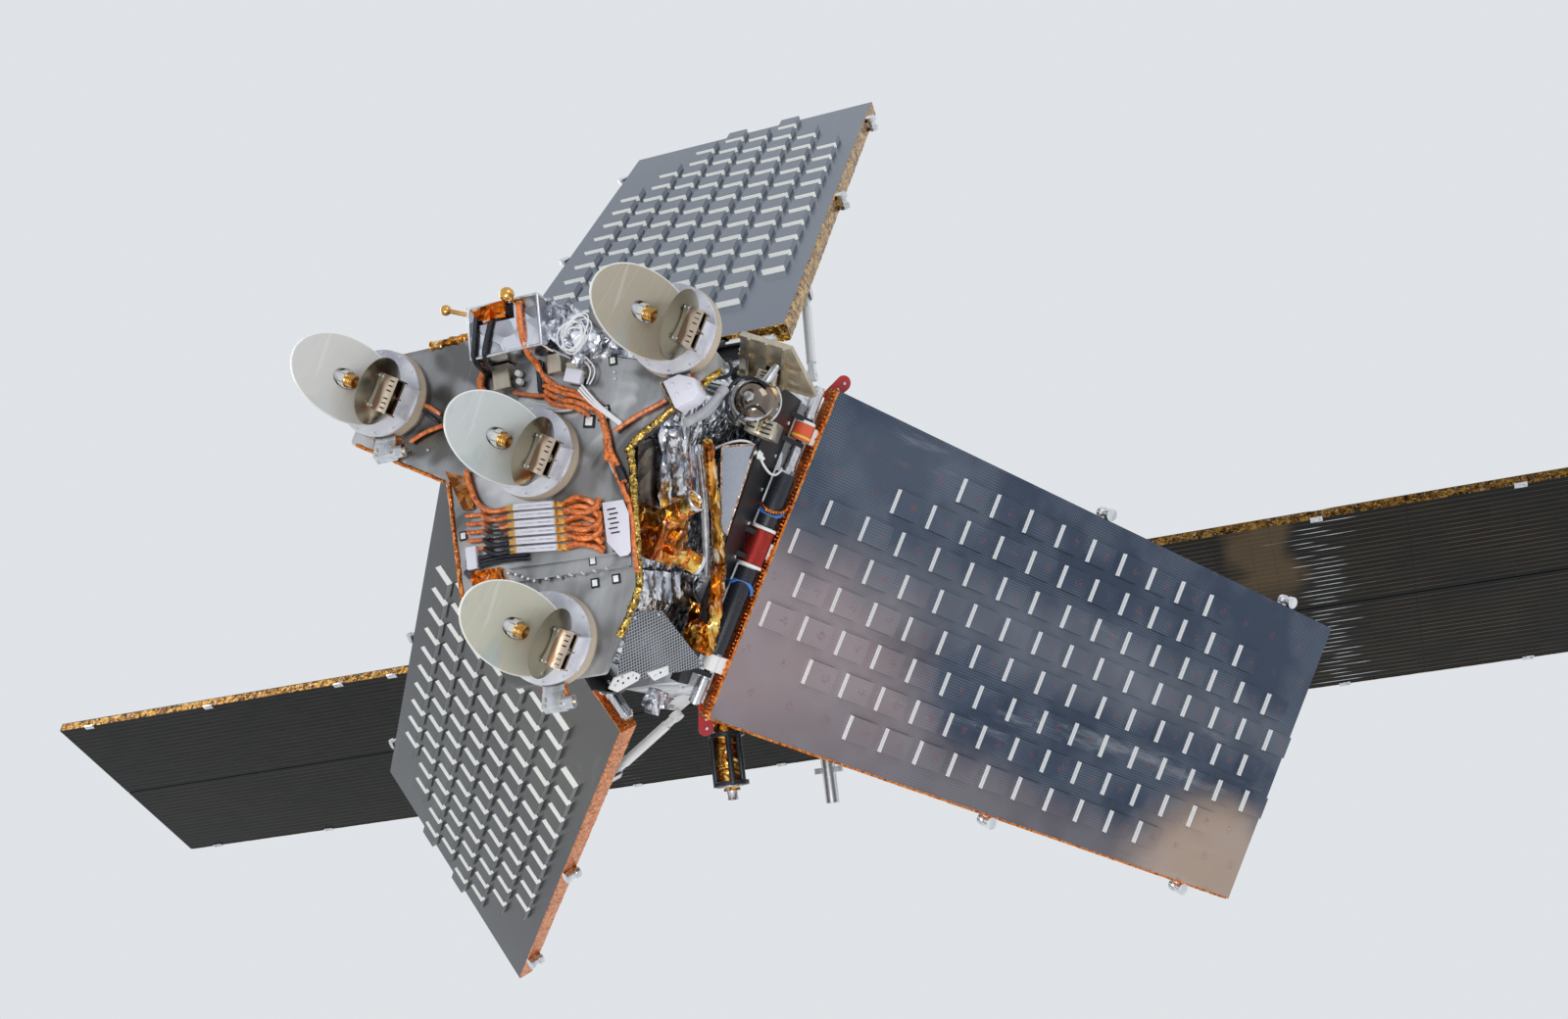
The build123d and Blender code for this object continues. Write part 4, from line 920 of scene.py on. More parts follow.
    def strip(self, centre, size, axis, cuts, depth, grain, seed):
        """Add a strip of crumpled tape, with its centre and size in metres, cut up along one axis."""
        part = bmesh.new()
        box = Matrix.Translation(centre) @ Matrix.Diagonal((*size, 1.0))
        bmesh.ops.create_cube(part, size=1.0, matrix=box)
        edges = [edge for edge in part.edges if abs(edge.verts[0].co[axis] - edge.verts[1].co[axis]) > 0.5]
        bmesh.ops.subdivide_edges(part, edges=edges, cuts=cuts, use_grid_fill=True)
        crumple(part, depth, grain, seed)
        self.join(part)

    def quad(self, corners, steps, depth, size, seed, folds, waves):
        """Add a crumpled sheet between four corners, with folds running from its first edge to its third."""
        part = bmesh.new()
        bmesh.ops.create_grid(part, x_segments=steps[0], y_segments=steps[1], size=0.5)
        first, second, third, fourth = (self.point(*corner) for corner in corners)
        out = (second - first).cross(fourth - first).normalized()
        for vert in part.verts:
            u, v = vert.co.x + 0.5, vert.co.y + 0.5
            sway = 0.10 * noise.noise(Vector((u * 2.0, v * 3.0, seed)))
            drift = 1.5 * noise.noise(Vector((v * 2.0, seed, 0.0)))
            wave = math.sin(2 * math.pi * waves * (u + sway) + drift)
            vert.co = first.lerp(second, u).lerp(fourth.lerp(third, u), v) + out * (folds / 1000) * wave
        crumple(part, depth, size, seed)
        bmesh.ops.solidify(part, geom=part.faces[:], thickness=SHEET_THICK)
        self.join(part)

    def coil(self, centre, wide, long, loops, radius, seed):
        """Add a loose coil of thin wire: closed loops of slightly different size, place and tilt."""
        maker, middle = random.Random(seed), self.point(*centre)
        for _ in range(loops):
            shift = mm(maker.uniform(-10, 10), maker.uniform(-8, 8), maker.uniform(-12, 4))
            reach = wide * maker.uniform(0.75, 1.1), long * maker.uniform(0.75, 1.1)
            turn = maker.uniform(0.3, 0.9)
            spots = []
            for step in range(9):
                angle = 2 * math.pi * step / 9
                x, y = reach[0] * math.cos(angle), reach[1] * math.sin(angle)
                spot = mm(x * math.cos(turn) - y * math.sin(turn), x * math.sin(turn) + y * math.cos(turn),
                          6 * math.sin(2 * angle + maker.uniform(0, 3)))
                spots.append(middle + shift + spot)
            self.cable(spots, radius, 2, 5, True)

    def ride(self, name, finish, body="bus"):
        """Put the form in its final place as a piece that rides on a body."""
        if self.place is not None:
            bmesh.ops.transform(self.form, matrix=self.place, verts=self.form.verts)
            if self.place.determinant() < 0:
                bmesh.ops.reverse_faces(self.form, faces=self.form.faces)
        mesh = bpy.data.meshes.new(name)
        self.form.to_mesh(mesh)
        self.form.free()
        mesh.shade_smooth()
        mesh.set_sharp_from_angle(angle=math.radians(SHARP_ANGLE))
        mesh.materials.append(FINISHES[finish])
        made = bpy.data.objects.new(name, mesh)
        bpy.context.scene.collection.objects.link(made)
        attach(made, body)
        return made


def build(pieces, point=mm, place=None):
    """Make pieces of the bus from a table: the finish of each, then its parts by kind and values."""
    made = {}
    for name, (finish, *parts) in pieces.items():
        shape = Shape(point, place)
        for kind, *values in parts:
            getattr(shape, kind)(*values)
        made[name] = shape.ride(name, finish)
    return made


# Array hinges: tubes, sleeves, bands, springs and the taped edges of the panels

# Rings on a hinge that move with the array: finish, then inner and outer radius, low and high end, place,
# sides and edge of each
HINGE_RINGS = {
    "hinge_sleeve": ("crimson_anodised", (26.2, 31.0, -44, 44, 0, 48, 2)),
    "hinge_sleeve_ends": ("white_paint", (26.2, 31.8, -4, 4, -48, 48, 1), (26.2, 31.8, -4, 4, 48, 48, 1),
                          (20.2, 25.0, -4, 4, -326, 40, 1)),
    "hinge_band": ("orange_red", (20.2, 26.2, -22, 20, -300, 44, 1.5)),
    "hinge_stripe": ("yellow_tape", (25.5, 26.8, -3, 3, -289, 44, 0.5)),
}


def hinge_point(t):
    return Vector((HINGE_R, t / 1000, HINGE_UP))


def along_hinge(t):
    """Frame on the hinge line with z along it."""
    return Matrix.Translation(hinge_point(t)) @ turned(-90, "X")


def hinge_fittings(side):
    """Dark tubes, a coloured sleeve and bands along one hinge, with the beam's bolts and a thin rod."""
    tubes, blue, ribbed, bolts = (Shape(place=FACES[side]) for _ in range(4))
    for start, end in ((-192, -54), (54, 276)):
        tubes.bar(hinge_point(start), hinge_point(end), 26, None, 40, 2)
    tubes.ride("hinge_tubes_" + side, "dark_cable")
    for name, (finish, *rings) in HINGE_RINGS.items():
        shape = Shape(place=FACES[side])
        for inner, outer, low, high, t, sides, edge in rings:
            shape.ring(inner, outer, low, high, along_hinge(t), sides, edge)
        shape.ride(f"{name}_{side}", finish, "array_" + side)
    across = Vector((*circle(1.0, 69 + 90), 0))
    tilts = {t: along_hinge(t) @ turned(tilt, across) @ turned(69 - 95)
             for t, tilt in ((-104, -46), (112, 46), (-114, -46))}
    for t in (-104, 112):
        blue.ring(28.5, 34.5, -4.2, 4.2, tilts[t], 30, 1.0, 190.0)
    ribbed.point = within(tilts[-114])
    for step in range(19):
        start, end = circle(34.5, step * 10), circle(34.5, step * 10 + math.degrees(0.12))
        ribbed.rod((*start, -4), (*end, -4), 4.2, None, 8)
    blue.ride("hinge_half_rings_" + side, "blue_plastic")
    ribbed.ride("hinge_ribbed_ring_" + side, "trim_orange")
    bolts.rod((314, -182, -103), (314, 120, -103), 2.2, None, 12)
    for t in (-345, -259, -172, -84, 3, 90, 180, 262, 340):
        bolts.knob(304.5, t, -99.5, -103.5, 6.0, 5.5, 6, 0.6)
        bolts.knob(304.5, t, -103, -105.5, 3.0, None, 12)
        bolts.rod((317.5, t + 40, -73), (321, t + 40, -73), 5.0, 4.6, 6, 0.5)
    bolts.ride("hinge_beam_bolts_" + side, "bright_aluminium")


def hinge_springs(side):
    """Coil springs round one damper of a hinge and thin rings on the others."""
    coils = Shape(place=FACES[side])
    for step in range(10):
        coils.ring(13.0, 16.8, -1.4, 1.4, along_hinge(344 + 5.2 * step), 28, 0.6)
    for t, radius in ((-408, 15), (-350, 15), (-252, 17), (-210, 17)):
        coils.ring(radius - 1, radius + 2.2, -2, 2, along_hinge(t), 28, 0.6)
    coils.ride("hinge_springs_" + side, "bright_aluminium")


def panel_edge_tape(side, finish, long_side, count):
    """Tape round the hinge edge of a panel and down one long edge, with raised ribs along the hinge edge."""
    tape, half, length = Shape(place=PANELS[side]), PANEL_WIDTH / 2, PANEL_LENGTH - 0.012
    tape.strip((0.0005, 0, -PANEL_THICK / 2), (0.007, PANEL_WIDTH + 0.003, PANEL_THICK + 0.004), 1, 150,
               1.2, 14, 3.0)
    tape.strip((length / 2, long_side * half, -PANEL_THICK / 2), (length, 0.006, PANEL_THICK + 0.003), 0,
               240, 1.3, 18, 5.0)
    tape.ride("edge_tape_" + side, finish, "array_" + side)
    if count:
        ribs = Shape(place=PANELS[side])
        for step in range(count):
            y = 1000 * ((step + 0.5) / count * PANEL_WIDTH - half)
            ribs.block((-4.2, y, -12 - 4 * (step % 2)), (2.8, 3.6 if step % 7 else 5.0, 13.5))
        ribs.ride("edge_ribs_" + side, "rib_orange", "array_" + side)


for side in SIDES:
    hinge_fittings(side)
    hinge_springs(side)
for side, finish, long_side, count in (("port", "trim_orange", -1, 88), ("starboard", "trim_orange", 1, 88),
                                       ("fore", "dark_gold", -1, 0)):
    panel_edge_tape(side, finish, long_side, count)


# Port side equipment: foil rolls, hoses, hanging sheets and wrapped sensors

# Values after the points: roll has radius, depth, size, seed; quad has steps, depth, size, seed, folds, waves;
# lump has cuts, depth, size, seed, place; tube has radius, rings, steps; rod has radius, tip, sides, bevel;
# hose has radius, step
PORT_PIECES = {
    "gold_rolls": (
        "roll_foil", ("roll", ((309, -165, -465), (317, -88, -364), (325, -10, -272), (332, 74, -186)), 15,
                      5, 20, 4.0),
        ("roll", ((332, 70, -190), (342, 150, -140), (346, 280, -78)), 19, 6, 22, 9.0)),
    "gold_nest": (
        "gold_foil", ("quad", ((288, 175, -170), (318, 180, -40), (322, 262, -20), (296, 272, -130)),
                      (22, 18), 10, 20,
                      2.0, 8, 2.0),
        ("lump", (300, 215, -135), (336, 285, -60), 9, 10, 22, 6.0)),
    "silver_sheet": (
        "sheet_foil", ("roll", ((236, -170, -520), (240, -100, -440), (250, -30, -350)), 24, 9, 30, 3.0),
        ("quad", ((226, -172, -548), (240, -185, -452), (258, -22, -318), (236, 6, -418)), (34, 44), 6, 24,
         12.0, 10, 3.0)),
    "silver_strips": (
        "sheet_foil", ("quad", ((244, -150, -412), (255, -168, -345), (268, -42, -232), (258, -24, -304)),
                       (20, 36), 3, 16,
                       15.0, 4, 2.0),
        ("quad", ((238, 150, -372), (266, 118, -170), (280, 192, -70), (240, 206, -352)), (30, 24), 3, 18,
         21.0, 4, 5.0),
        ("quad", ((230, 20, -478), (240, 12, -425), (250, 124, -352), (243, 150, -390)), (10, 26), 4, 14,
         25.0, 3, 2.0)),
    "smoked_film": (
        "smoked_film", ("quad", ((202, -104, -568), (209, -131, -518), (226, 4, -403), (215, 23, -480)),
                        (16, 20), 1.2, 30,
                        31.0, 1, 1.0)),
    "orange_piping": (
        "trim_orange", ("quad", ((236, -152, -420), (240, -156, -404), (262, -26, -298), (258, -20, -312)),
                        (5, 40), 2, 10,
                        17.0, 1, 1.0)),
    "ribbed_hose": (
        "bright_aluminium", ("hose", ((275, -142, -408), (284, -81, -339), (297, 37, -226),
                                      (302, 108, -158)), 8.8, 5.2)),
    "grey_hose": (
        "grey_hose", ("tube", ((290, -187, -560), (297, -215, -524), (301, -250, -500), (306, -286, -480)),
                      8.8, 5, 12),
        ("rod", (288.5, -182, -565), (292.5, -196, -549), 11.2, None, 24, 1),
        ("rod", (303, -272, -488), (306.5, -290, -478), 11.2, None, 24, 1)),
    "sensor_wrap": (
        "gold_foil", ("lump", (200, 8, -474), (290, 121, -337), 14, 7, 30, 8.0),
        ("lump", (262, 30, -400), (304, 96, -350), 8, 8, 24, 14.0)),
    "white_cable": (
        "white_cable", ("tube", ((262, -171, -300), (280, -206, -262), (300, -222, -205), (312, -206, -176),
                                 (324, -184, -138), (332, -172, -94), (336, -178, -60), (334, -196, -40)), 3,
                        3, 14)),
    "connector_plate": ("dark_cable", ("block", (306, -206, -176), (10, 46, 44), IDENTITY, 1.5)),
    "connector_plug": (
        "white_paint", ("rod", (308, -205, -180), (324, -198, -172), 11.5, 9.0, 28, 1),
        ("rod", (322, -199, -173), (332, -194, -168), 6.2, 4.5, 20, 0.8)),
}
# Wrapped sensors: foot, end and name of the face
SENSORS = ((mm(262, 36, -430), mm(330, -34, -458), "faces"), (mm(262, 84, -372), mm(330, 92, -304), "lenses"))
SENSOR_R = 24.5
RIM_OUTLINE = ((-3, 24.2), (-3, 25.4), (2, 26.0), (5.2, 25.0), (5.6, 22.5), (2, 20.8))
LENS_OUTLINE = ((1, 0.1), (1, 21.2), (3.6, 20.5), (4.6, 14.0), (5, 0.1))


def sensor_fittings():
    """Rims, lenses and straps of the two wrapped sensors. The faces piece isn't moved to the port face."""
    rims, straps, lenses = (Shape(place=FACES["port"]) for _ in range(3))
    fronts = {"faces": Shape(), "lenses": lenses}
    for foot, end, front in SENSORS:
        aim = (end - foot).normalized()
        rims.turning(RIM_OUTLINE, aimed(end, aim), 40)
        fronts[front].turning(LENS_OUTLINE, aimed(end, aim), 36)
        for share in (0.30, 0.62):
            middle = foot.lerp(end, share)
            straps.bar(middle - aim * 0.005, middle + aim * 0.005, SENSOR_R + 1.2, None, 36, 1)
    rims.ride("sensor_rims", "bright_aluminium")
    lenses.ride("sensor_lenses", "lens_glass")
    fronts["faces"].ride("sensor_faces", "champagne_metal")
    straps.ride("sensor_straps", "trim_orange")


def corner_lugs():
    """Red lugs on the port panel's corners, with their bolts."""
    lugs, pins = Shape(), Shape()
    round_end = [circle(20, degrees) for degrees in range(-90, 91, 15)]
    outline = [(x + 30, y) for x, y in round_end] + [(-34, 17), (-34, -17)]
    for end in (-1, 1):
        spot = PANELS["port"] @ moved(0.020, end * 0.4315, -0.050) @ turned(end * 62)
        lugs.plate(outline, 5, spot, 1)
        pins.point = within(spot)
        for x in (30, 6):
            pins.knob(x, 0, 5, 8.5, 4.8, 4.2, 6, 0.5)
            pins.knob(x, 0, -3, 5, 4.6, None, 12)
    lugs.ride("corner_lugs", "red_lug", "array_port")
    pins.ride("corner_lug_bolts", "bright_aluminium", "array_port")


def foil_pack():
    """Crushed-foil pack beside the port hinge."""
    pack, maker = Shape(place=FACES["port"]), random.Random(8)
    for _ in range(7):
        t, z = maker.uniform(418, 462), maker.uniform(-215, -125)
        size = maker.uniform(16, 24)
        pack.lump((296, t - size, z - size), (320, t + size * 0.6, z + size), 4, 4, 22, maker.uniform(0, 50))
    pack.rod((300, 440, -150), (292, 436, -20), 6, None, 20, 1)
    pack.ride("foil_pack", "sheet_foil")


port_pieces = build(PORT_PIECES, mm, FACES["port"])
for name in ("gold_rolls", "silver_sheet", "ribbed_hose", "grey_hose"):
    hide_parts("service_lines")
sensor_fittings()
corner_lugs()
foil_pack()


# Nadir deck: foils, wires, bundles and small fittings, at (x, y, height) out of the deck

DECK_PIECES = {
    "deck_foil_lump": (
        "sheet_foil", ("lump", (-62, -45, -26), (62, 45, 16), 12, 12, 30, 41.0,
                       deck_place(240, 128, 14, -38)),
        ("lump", (-40, -26, -22), (40, 26, 14), 8, 10, 24, 43.0, deck_place(296, 86, 12, -50)),
        ("quad", ((186, 196, 4), (236, 212, 4), (214, 330, 4), (150, 300, 4)), (12, 16), 2.5, 20, 45.0, 3,
         3.0)),
    "deck_edge_trim": (
        "trim_gold", ("roll", ((100, 445, 2), (29, 312, 3), (3, 262, 3), (-14, 231, 3), (-40, 213, 3)), 8.5,
                      3.5, 16, 51.0),
        ("roll", ((-34, 221, -2), (-180, 215.5, -2), (-330, 209, -2)), 9.5, 3.5, 16, 52.0),
        ("roll", ((-330, 209, -2), (-380, 182, -2), (-430, 152, -2)), 9.0, 3.5, 16, 55.0)),
    "deck_edge_line": (
        "trim_orange", ("roll", ((105, -438, 2), (34, -318, 2), (-20, -226, 2)), 5, 2, 14, 53.0),
        ("roll", ((-25, -216, 2), (-170, -211, 2), (-325, -203, 2)), 5, 2, 14, 54.0)),
    "copper_sheet": (
        "copper_film", ("quad", ((3, -222, 3), (-20, -171, 3), (-95, -157, 3), (-92, -185, 3)), (14, 10),
                        1.5, 30, 56.0,
                        1, 1.0)),
    "gold_pockets": (
        "gold_foil", ("quad", ((326, -84, 89.5), (332, 4, 89.5), (292, -2, 89.5), (298, -67, 89.5)),
                      (12, 10), 1.5, 18,
                      58.0, 1, 1.0),
        ("lump", (288, -52, 88), (314, -34, 100), 6, 2, 14, 59.0),
        ("lump", (-14, -30, -12), (16, 34, 8), 7, 6, 20, 60.0, deck_place(-252, -137, 12))),
    "white_wires": (
        "white_cable", ("coil", (230, 137, 44), 42, 27, 8, 1.6, 5),
        ("tube", ((186, 150, 30), (172, 160, 18), (155, 164, 14), (138, 157, 14), (128, 146, 12)), 1.6, 2, 8),
        ("tube", ((182, 140, 30), (175, 148, 18), (160, 154, 14), (143, 149, 14), (130, 140, 12)), 1.6, 2, 8),
        *(("tube", ((109 + s, 5, 14), (91 + s, 54, 14), (79, 85 + s, 14), (84 + s, 108, 14),
                    (92, 122 + s, 10)), 1.8, 2, 8)
          for s in (-6, 0, 5)),
        ("tube", ((-22, 166, 8), (-60, 174, 8), (-107, 193, 8), (-139, 207, 8)), 2, 2, 8),
        *(("tube", ((122 + s, 128 + s, 22), (89 + s, 150 + s, 22), (60 + s, 176, 18), (24 + s, 212, 12)),
           2.6, 2, 8)
          for s in (-4.5, 0, 4.5))),
    "black_cables": (
        "dark_cable", ("tube", ((303, -72, 91), (250, -80, 94), (206, -88, 94), (202, -96, 14)), 5.5, 3, 12),
        ("tube", ((292, -36, 91), (250, -50, 94), (206, -62, 94), (202, -80, 14)), 5.5, 3, 12),
        *(("tube", ((x, -184, 10), (x + 3, -137, 12), (x + 5, -89, 12), (x, -39, 10)), 3.4, 2, 8)
          for x in (-219, -211, -227)),
        ("rod", (-66, 192, 11), (-100, 202.2, 11), 8.2, None, 20, 1),
        ("tube", ((199, 31, 16), (180, 32, 16), (150, 30, 14), (124, 29, 6)), 5.8)),
    "orange_bundles": (
        "orange_wrap", ("roll", ((3, 168, 9), (-31, 171, 9), (-69, 184, 9), (-115, 198, 9), (-150, 208, 9)),
                        6, 2, 16, 61.0),
        ("roll", ((-150, 208, 9), (-180, 212, 9), (-219, 211, 9), (-301, 210, 9)), 5.2, 2, 16, 62.0),
        ("roll", ((62, 167, 12), (24, 171, 12), (-9, 173, 10), (-50, 166, 10)), 6.2, 2, 16, 63.0),
        ("roll", ((227, -94, 13), (199, -106, 15), (178, -116, 13), (153, -103, 10)), 8.5, 3, 18, 64.0),
        *(("roll", ((135 + s, 40, 12), (105 + s, 70 + s, 22), (95 + s, 115, 20), (70 + s, 150 + s, 14)), 6,
           2, 16,
           65.0 + s / 1000) for s in (-12, 0, 12))),
    "drive_face": (
        "trim_gold", ("quad", ((85, 325, 4), (21, 347, 4), (21, 347, 54), (85, 325, 54)), (12, 10), 1.5, 16,
                      73.0, 1, 1.0)),
    "drive_block": (
        "pale_plate", ("plate", ((87, 329), (23, 350), (34, 392), (48, 408), (81, 400), (96, 366)), 52,
                       deck_place(0, 0, 52), 3),
        *(("knob", x, y, 50, 56, 5.2, 4.6, 16, 0.6) for x, y in ((50, 358), (74, 350), (64, 388)))),
    "pale_plates": (
        "pale_plate", ("plate", ((-141, 198), (-173, 208), (-255, 204), (-262, 196), (-262, 178),
                                 (-226, 152), (-139, 150)),
                       4, deck_place(0, 0, 16), 0.8),
        ("block", (150, 116, 18), (30, 40, 22), Matrix.Rotation(0.35, 4, "Z"), 1.5),
        ("block", (-206, -167, 10), (52, 26, 20), IDENTITY, 3)),
    "fore_edge_foil": ("gold_foil", ("roll", ((300, -100, -2), (302, -160, -1), (299, -235, -2)), 11, 5, 20,
                                     81.0)),
}
# Target squares: place, size and turn in degrees
TARGETS = ((173, 202, 20, 0), (67, 174, 20, 0), (-258, 110, 20, 0), (-306, 110, 20, 0), (-305, 159, 20, 0),
           (49, 133, 28, 12), (57, 169, 28, 12), (-360, 60, 20, 0), (-150, -190, 20, 0))
RIVETS = ((-254, -82), (-260, -65), (-268, -50), (-274, -37), (-281, -23), (-281, 5), (-282, 33), (-281, 61),
          (-282, 89),
          (-282, 117), (-282, 145))
DECK_BOLTS = ((146, 203), (131, 203), (-400, 80), (-420, 0), (-380, -100), (60, -260), (100, -330))
BOX_CORNERS = ((216, -94), (331, -94), (331, 74), (216, 74))


def deck_fittings():
    """Target squares, knobs, straps and rivets of the deck, and the bright frame of the foil box."""
    frames, squares, metal, rods = (Shape(deck) for _ in range(4))
    for x, y, size, degrees in TARGETS:
        spin = turned(degrees)
        frames.block((x, y, 1.5), (size * 1.05, size * 0.95, 3.0), spin, 0.6)
        squares.block((x, y, 3.3), (size * 0.68, size * 0.58, 1.4), spin, 0.4)
        squares.knob(x, y, 3.8, 6.2, size * 0.13, None, 12)
    for x, y in ((199, 32), (143, 31)):
        frames.block((x, y, 10), (16, 13, 12), IDENTITY, 1)
    for step in range(6):
        frames.block((-157 - 10.4 * step, 170 + 4 * (step % 2), 16.6), (3, 20, 1))
    frames.ride("target_frames", "black_composite")
    for x, y in ((187, -19), (168, -18), (204, 65), (183, 65)):
        squares.knob(x, y, 4, 18, 8.5, 7.0, 24, 1)
    squares.ride("target_squares", "white_paint")
    for x, y in RIVETS:
        metal.knob(x, y, 10, 18.5, 4.0, 3.4, 12, 0.5)
    for x, y in DECK_BOLTS:
        metal.knob(x, y, 0, 3.5, 4.2, 3.6, 6, 0.4)
    for start, end in (((244, 44, 26), (208, 88, 26)), ((208, 88, 26), (179, 132, 26))):
        metal.rod(start, end, 2.6, None, 12)
    metal.ride("deck_rivets", "bright_aluminium")
    for corner, following in zip(BOX_CORNERS, BOX_CORNERS[1:] + BOX_CORNERS[:1]):
        rods.rod((*corner, 84), (*following, 84), 3.4, None, 12)
        rods.knob(*corner, 2, 86, 3.0, None, 12)
    for y in (-60, -10, 40):
        rods.knob(223, y, 83, 88.5, 4.0, 3.4, 10, 0.4)
    rods.ride("box_frame", "bright_aluminium")


build(DECK_PIECES, deck)
deck_fittings()


# Crosslink gimbal, at (x, y, depth) below the hinge plane

GIMBAL = (77, 453)
DOME_R, DOME_HEIGHT, DOME_DEPTH = 56, 62, 385
HOSES = {
    "gimbal_hoses": (
        "dark_cable", ("tube", ((97, 495, 436), (122, 468, 436), (129, 433, 436), (113, 406, 436),
                                (83, 396, 436),
                                (50, 394, 436), (26, 410, 436)), 4, 3, 8),
        ("tube", ((26, 410, 448), (40, 428, 448), (56, 452, 448), (47, 476, 448), (30, 486, 448)), 3.6, 3, 8),
        ("tube", ((147, 348, 430), (140, 378, 430), (138, 404, 430), (155, 419, 430), (173, 411, 430)), 4.6,
         3, 8),
        ("tube", ((120, 350, 410), (150, 372, 410), (176, 360, 410), (190, 330, 410)), 4, 3, 8)),
    "gimbal_grey_hose": (
        "grey_hose", ("tube", ((118, 396, 430), (91, 378, 430), (70, 356, 430), (58, 330, 430),
                               (56, 306, 430)), 8.5, 4,
                      12)),
}
# Blocks beside the gimbal: place and size
GIMBAL_BLOCKS = (((30, 446, 395), (50, 30, 46)), ((10, 470, 380), (40, 40, 50)),
                 ((126, 486, 388), (30, 50, 40)),
                 ((60, 400, 392), (46, 22, 36)))


def gimbal_fittings():
    """Domed gimbal with its rings, and the blocks beside it, with thin black plates on their faces as painted
    shade in the slots.
    """
    dome, rings, blocks, slots = (Shape(under_hinge) for _ in range(4))
    sweep = [math.radians(step * 90 / 8) for step in range(1, 8)]
    outline = [(0, DOME_R)] + [(DOME_HEIGHT * math.sin(a), DOME_R * math.cos(a) ** 0.8) for a in sweep]
    outline += [(DOME_HEIGHT, 0.1), (0, 0.1)]
    foot = Matrix.Translation(under_hinge(*GIMBAL, DOME_DEPTH))
    dome.turning(outline[::-1], foot @ Matrix.Rotation(math.pi, 4, "X"), 40)
    dome.ride("gimbal_dome", "smoked_metal")
    for share in (0.25, 0.62):
        place = Matrix.Translation(under_hinge(*GIMBAL, DOME_DEPTH + DOME_HEIGHT * share)) @ turned(12, "X")
        reach = (DOME_R + 1) * math.cos(math.asin(share)) ** 0.8
        rings.ring(reach - 4, reach + 3, -3, 3, place, 40)
    rings.knob(*GIMBAL, DOME_DEPTH + 55, DOME_DEPTH + 71, 14, 11, 28, 1)
    for degrees in range(0, 360, 60):
        x, y = circle(51, degrees)
        spot = under_hinge(GIMBAL[0] + x, GIMBAL[1] + y, DOME_DEPTH + 10)
        rings.bar(spot, spot + mm(0, 0, -8), 4.2, 3.6, 10, 0.4)
    rings.ride("gimbal_rings", "bright_aluminium")
    spin = turned(28)
    for spot, size in GIMBAL_BLOCKS:
        blocks.block(spot, size, spin, 2)
        # Slots: thin black plates on the faces, painted shade standing in for open slots
        slots.point = lambda x, y, z: under_hinge(*spot) + spin @ mm(x, y, z)
        for step in (-1, 0, 1):
            slots.block((step * size[0] * 0.27, 0, -size[2] / 2 - 0.3),
                        (size[0] * 0.10, size[1] * 0.62, 1.2), spin)
    blocks.ride("gimbal_blocks", "champagne_metal")
    slots.point = under_hinge
    slots.lump((100, 395, 372), (178, 425, 340), 8, 12, 26, 71.0)
    slots.ride("gimbal_dark_parts", "dark_cable")


build(HOSES, under_hinge)
gimbal_fittings()


# Steerable antennas: collar in the mirror's sleeve, ribs on the horn, the dish's bolt, fittings of the drives

def antenna_fittings(site):
    """Small fittings of one steerable antenna."""
    collar, gilding, bolts = Shape(), Shape(), Shape()
    feed = PLACES[site] @ moved(0, 0, FEED_HEIGHT) @ turned(90, "Y")
    sleeve = 1000 * MIRROR_X
    collar.ring(13.5, 21.2, sleeve - 34, sleeve - 22, feed, 40)
    for step in range(6):
        spot = feed @ turned(60 * step)
        collar.point = within(spot)
        collar.block((17, 0, sleeve - 1), (3, 16.5, 14), facing(spot), 0.6)
    collar.ride("feed_collar_" + site, "collar_pearl", "turntable_" + site)
    for step in range(4):
        gilding.ring(13.6, 15.2, sleeve + 8.5 + 4.8 * step, sleeve + 10.8 + 4.8 * step, feed, 32, 0.4)
    gilding.point = within(feed)
    gilding.knob(0, 0, 64, 81, 3.4, 4.6, 20, 0.5)
    gilding.knob(0, 0, 77, 81.5, 8.5, 8.5, 28, 0.6)
    gilding.ride("feed_gilding_" + site, "gold_plated", "turntable_" + site)
    for degrees in range(20, 380, 30):
        foot = PLACES[site] @ mm(*circle(94, degrees), 32)
        bolts.bar(foot, foot + mm(0, 0, -3), 2.6, None, 8)
    for y in (-0.026, 0.026):
        for x in (0.0765, 0.086):
            bolts.point = within(PLACES[site] @ moved(x, y * 1.30, FEED_HEIGHT + 0.040))
            bolts.knob(0, 0, -10, 0.5, 2.2, None, 8)
    bolts.ride("antenna_bolts_" + site, "bright_aluminium", "turntable_" + site)


def drive_fittings():
    """Cables from the deck to two antenna drives, with the plates and screws on three."""
    dark, amber, plates, screws = Shape(deck), Shape(deck), Shape(), Shape()
    for x, y, x2, y2 in ((-330, -60, -290, -110), (150, -262, 120, -230)):
        xm, ym = (x + x2) / 2, (y + y2) / 2
        dark.tube(((x, y, 6), (xm, ym, 30), (x2, y2, 8)), 4.2, 3, 8)
        amber.tube(((x + 12, y + 6, 6), (xm + 16, ym + 10, 26), (x2 + 14, y2 + 10, 8)), 5.0, 3, 8)
    for site in ("fore_port", "fore_starboard", "aft"):
        place = PLACES[site] @ turned(-60)
        plates.point = screws.point = within(place)
        for side in (-1, 1):
            plates.block((124, side * 26.8, 12), (46, 1.4, 18), facing(place), 0.4)
        for x, y in ((128, 18), (128, -18), (143, 18), (143, -18)):
            foot = screws.point(x, y, 20 + (x - 112) * 0.38)
            screws.bar(foot, foot + mm(0, 0, -6), 3.4, 3.0, 6, 0.4)
        screws.rod((140, 40, 17), (140, 50, 17), 8, None, 20, 1)
    dark.ride("drive_cables", "dark_cable")
    amber.ride("drive_cables_orange", "orange_wrap")
    plates.ride("drive_plates", "trim_orange")
    screws.ride("drive_screws", "champagne_metal")


for site in ANTENNAS:
    antenna_fittings(site)
drive_fittings()


# Screens and thruster cage

